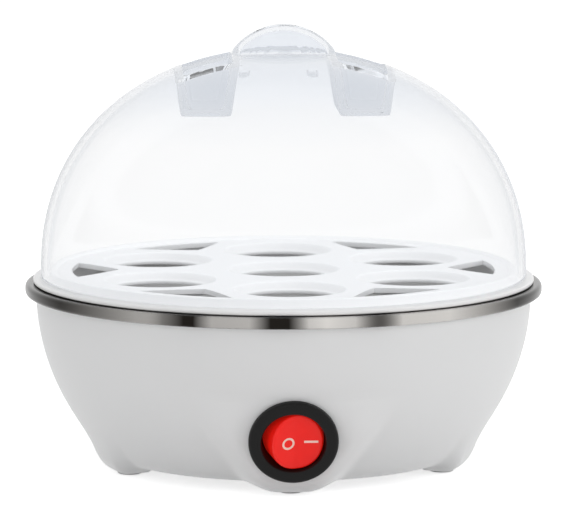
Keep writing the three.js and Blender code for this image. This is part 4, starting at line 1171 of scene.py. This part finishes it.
# %% Put the finishes on
cad_slots = {row["node"]: row["material_slot"] for row in frame["record"]["subparts"]}
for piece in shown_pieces():
    slot_name = piece.get("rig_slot") or cad_slots[piece.name]
    piece.data.materials.clear()
    piece.data.materials.append(finishes["mark_ink" if piece in (off_ring, on_dash) else slot_name])

# %% [markdown]
# ## Floor and light
#
# The photograph has a plain white ground. The floor is white paper that adds a little light of its own
# where the camera sees it, so that it reaches white and still keeps a soft shadow. In reflections and
# through the lid it is as even a white as the world, so that no horizon shows there. As lights, both are
# weaker. Three large soft lamps in front, one above and a weak one behind model the shapes.

# %% Floor and world
paper_glow, world_strength, floor_half = 0.69, 0.37, 6


def floor_paper():
    """Glowing paper for the camera, an even white in gloss and through the lid, plain paper as a light."""
    finish = Finish("white_paper")
    plain = finish.node("BsdfDiffuse", {"Color": shade(240)})
    glow = finish.light("Emission", white, paper_glow)
    lit = finish.node("BsdfDiffuse", {"Color": shade(238)})
    paper = finish.node("AddShader", {0: glow, 1: lit})
    even = finish.light("Emission", white, 1.0)
    ground = finish.blend(finish.ray("Is Camera Ray"), even, paper)
    return finish.finish(finish.blend(finish.shown(), plain, ground))


def studio_world(strength):
    """White where it is shown, and a softer white light on everything else."""
    finish = Finish("studio", bpy.data.worlds.new("studio"), "OutputWorld")
    light = finish.light("Background", white, strength)
    ground = finish.light("Background", white, 1.0)
    return finish.finish(finish.blend(finish.shown(), light, ground))


floor_mesh = bpy.data.meshes.new("floor")
corners = [(x * floor_half, y * floor_half, 0) for x, y in ((-1, -1), (1, -1), (1, 1), (-1, 1))]
floor_mesh.from_pydata(corners, [], [(0, 1, 2, 3)])
floor = bpy.data.objects.new("floor", floor_mesh)
floor.data.materials.append(floor_paper())
collection.objects.link(floor)
bpy.context.scene.world = studio_world(world_strength)
print("floor of", 2 * floor_half, "m")

# %% Lamps
def softbox(name, place, size, power, target=(0, 0, 0.07)):
    """A square lamp of a size in metres that faces the target, and that nothing mirrors as a square."""
    data = bpy.data.lights.new(name, "AREA")
    data.shape, data.size, data.energy = "SQUARE", size, power
    lamp = bpy.data.objects.new(name, data)
    lamp.location = place
    lamp.rotation_euler = (Vector(target) - Vector(place)).to_track_quat("-Z", "Y").to_euler()
    lamp.visible_glossy = lamp.visible_transmission = False
    collection.objects.link(lamp)
    print(name, "lamp of", power, "W")


softbox("key", (1.3, -0.55, 0.4), 0.8, 6.7)
softbox("fill", (-1.05, -0.7, 0.35), 0.8, 3.2)
softbox("front", (-0.1, -1.2, 0.05), 0.6, 3)
softbox("top", (0, 0.1, 1.3), 0.9, 5)
softbox("back", (0.4, 1.3, 0.5), 0.8, 2.5)
bpy.context.scene.view_settings.view_transform = "Standard"
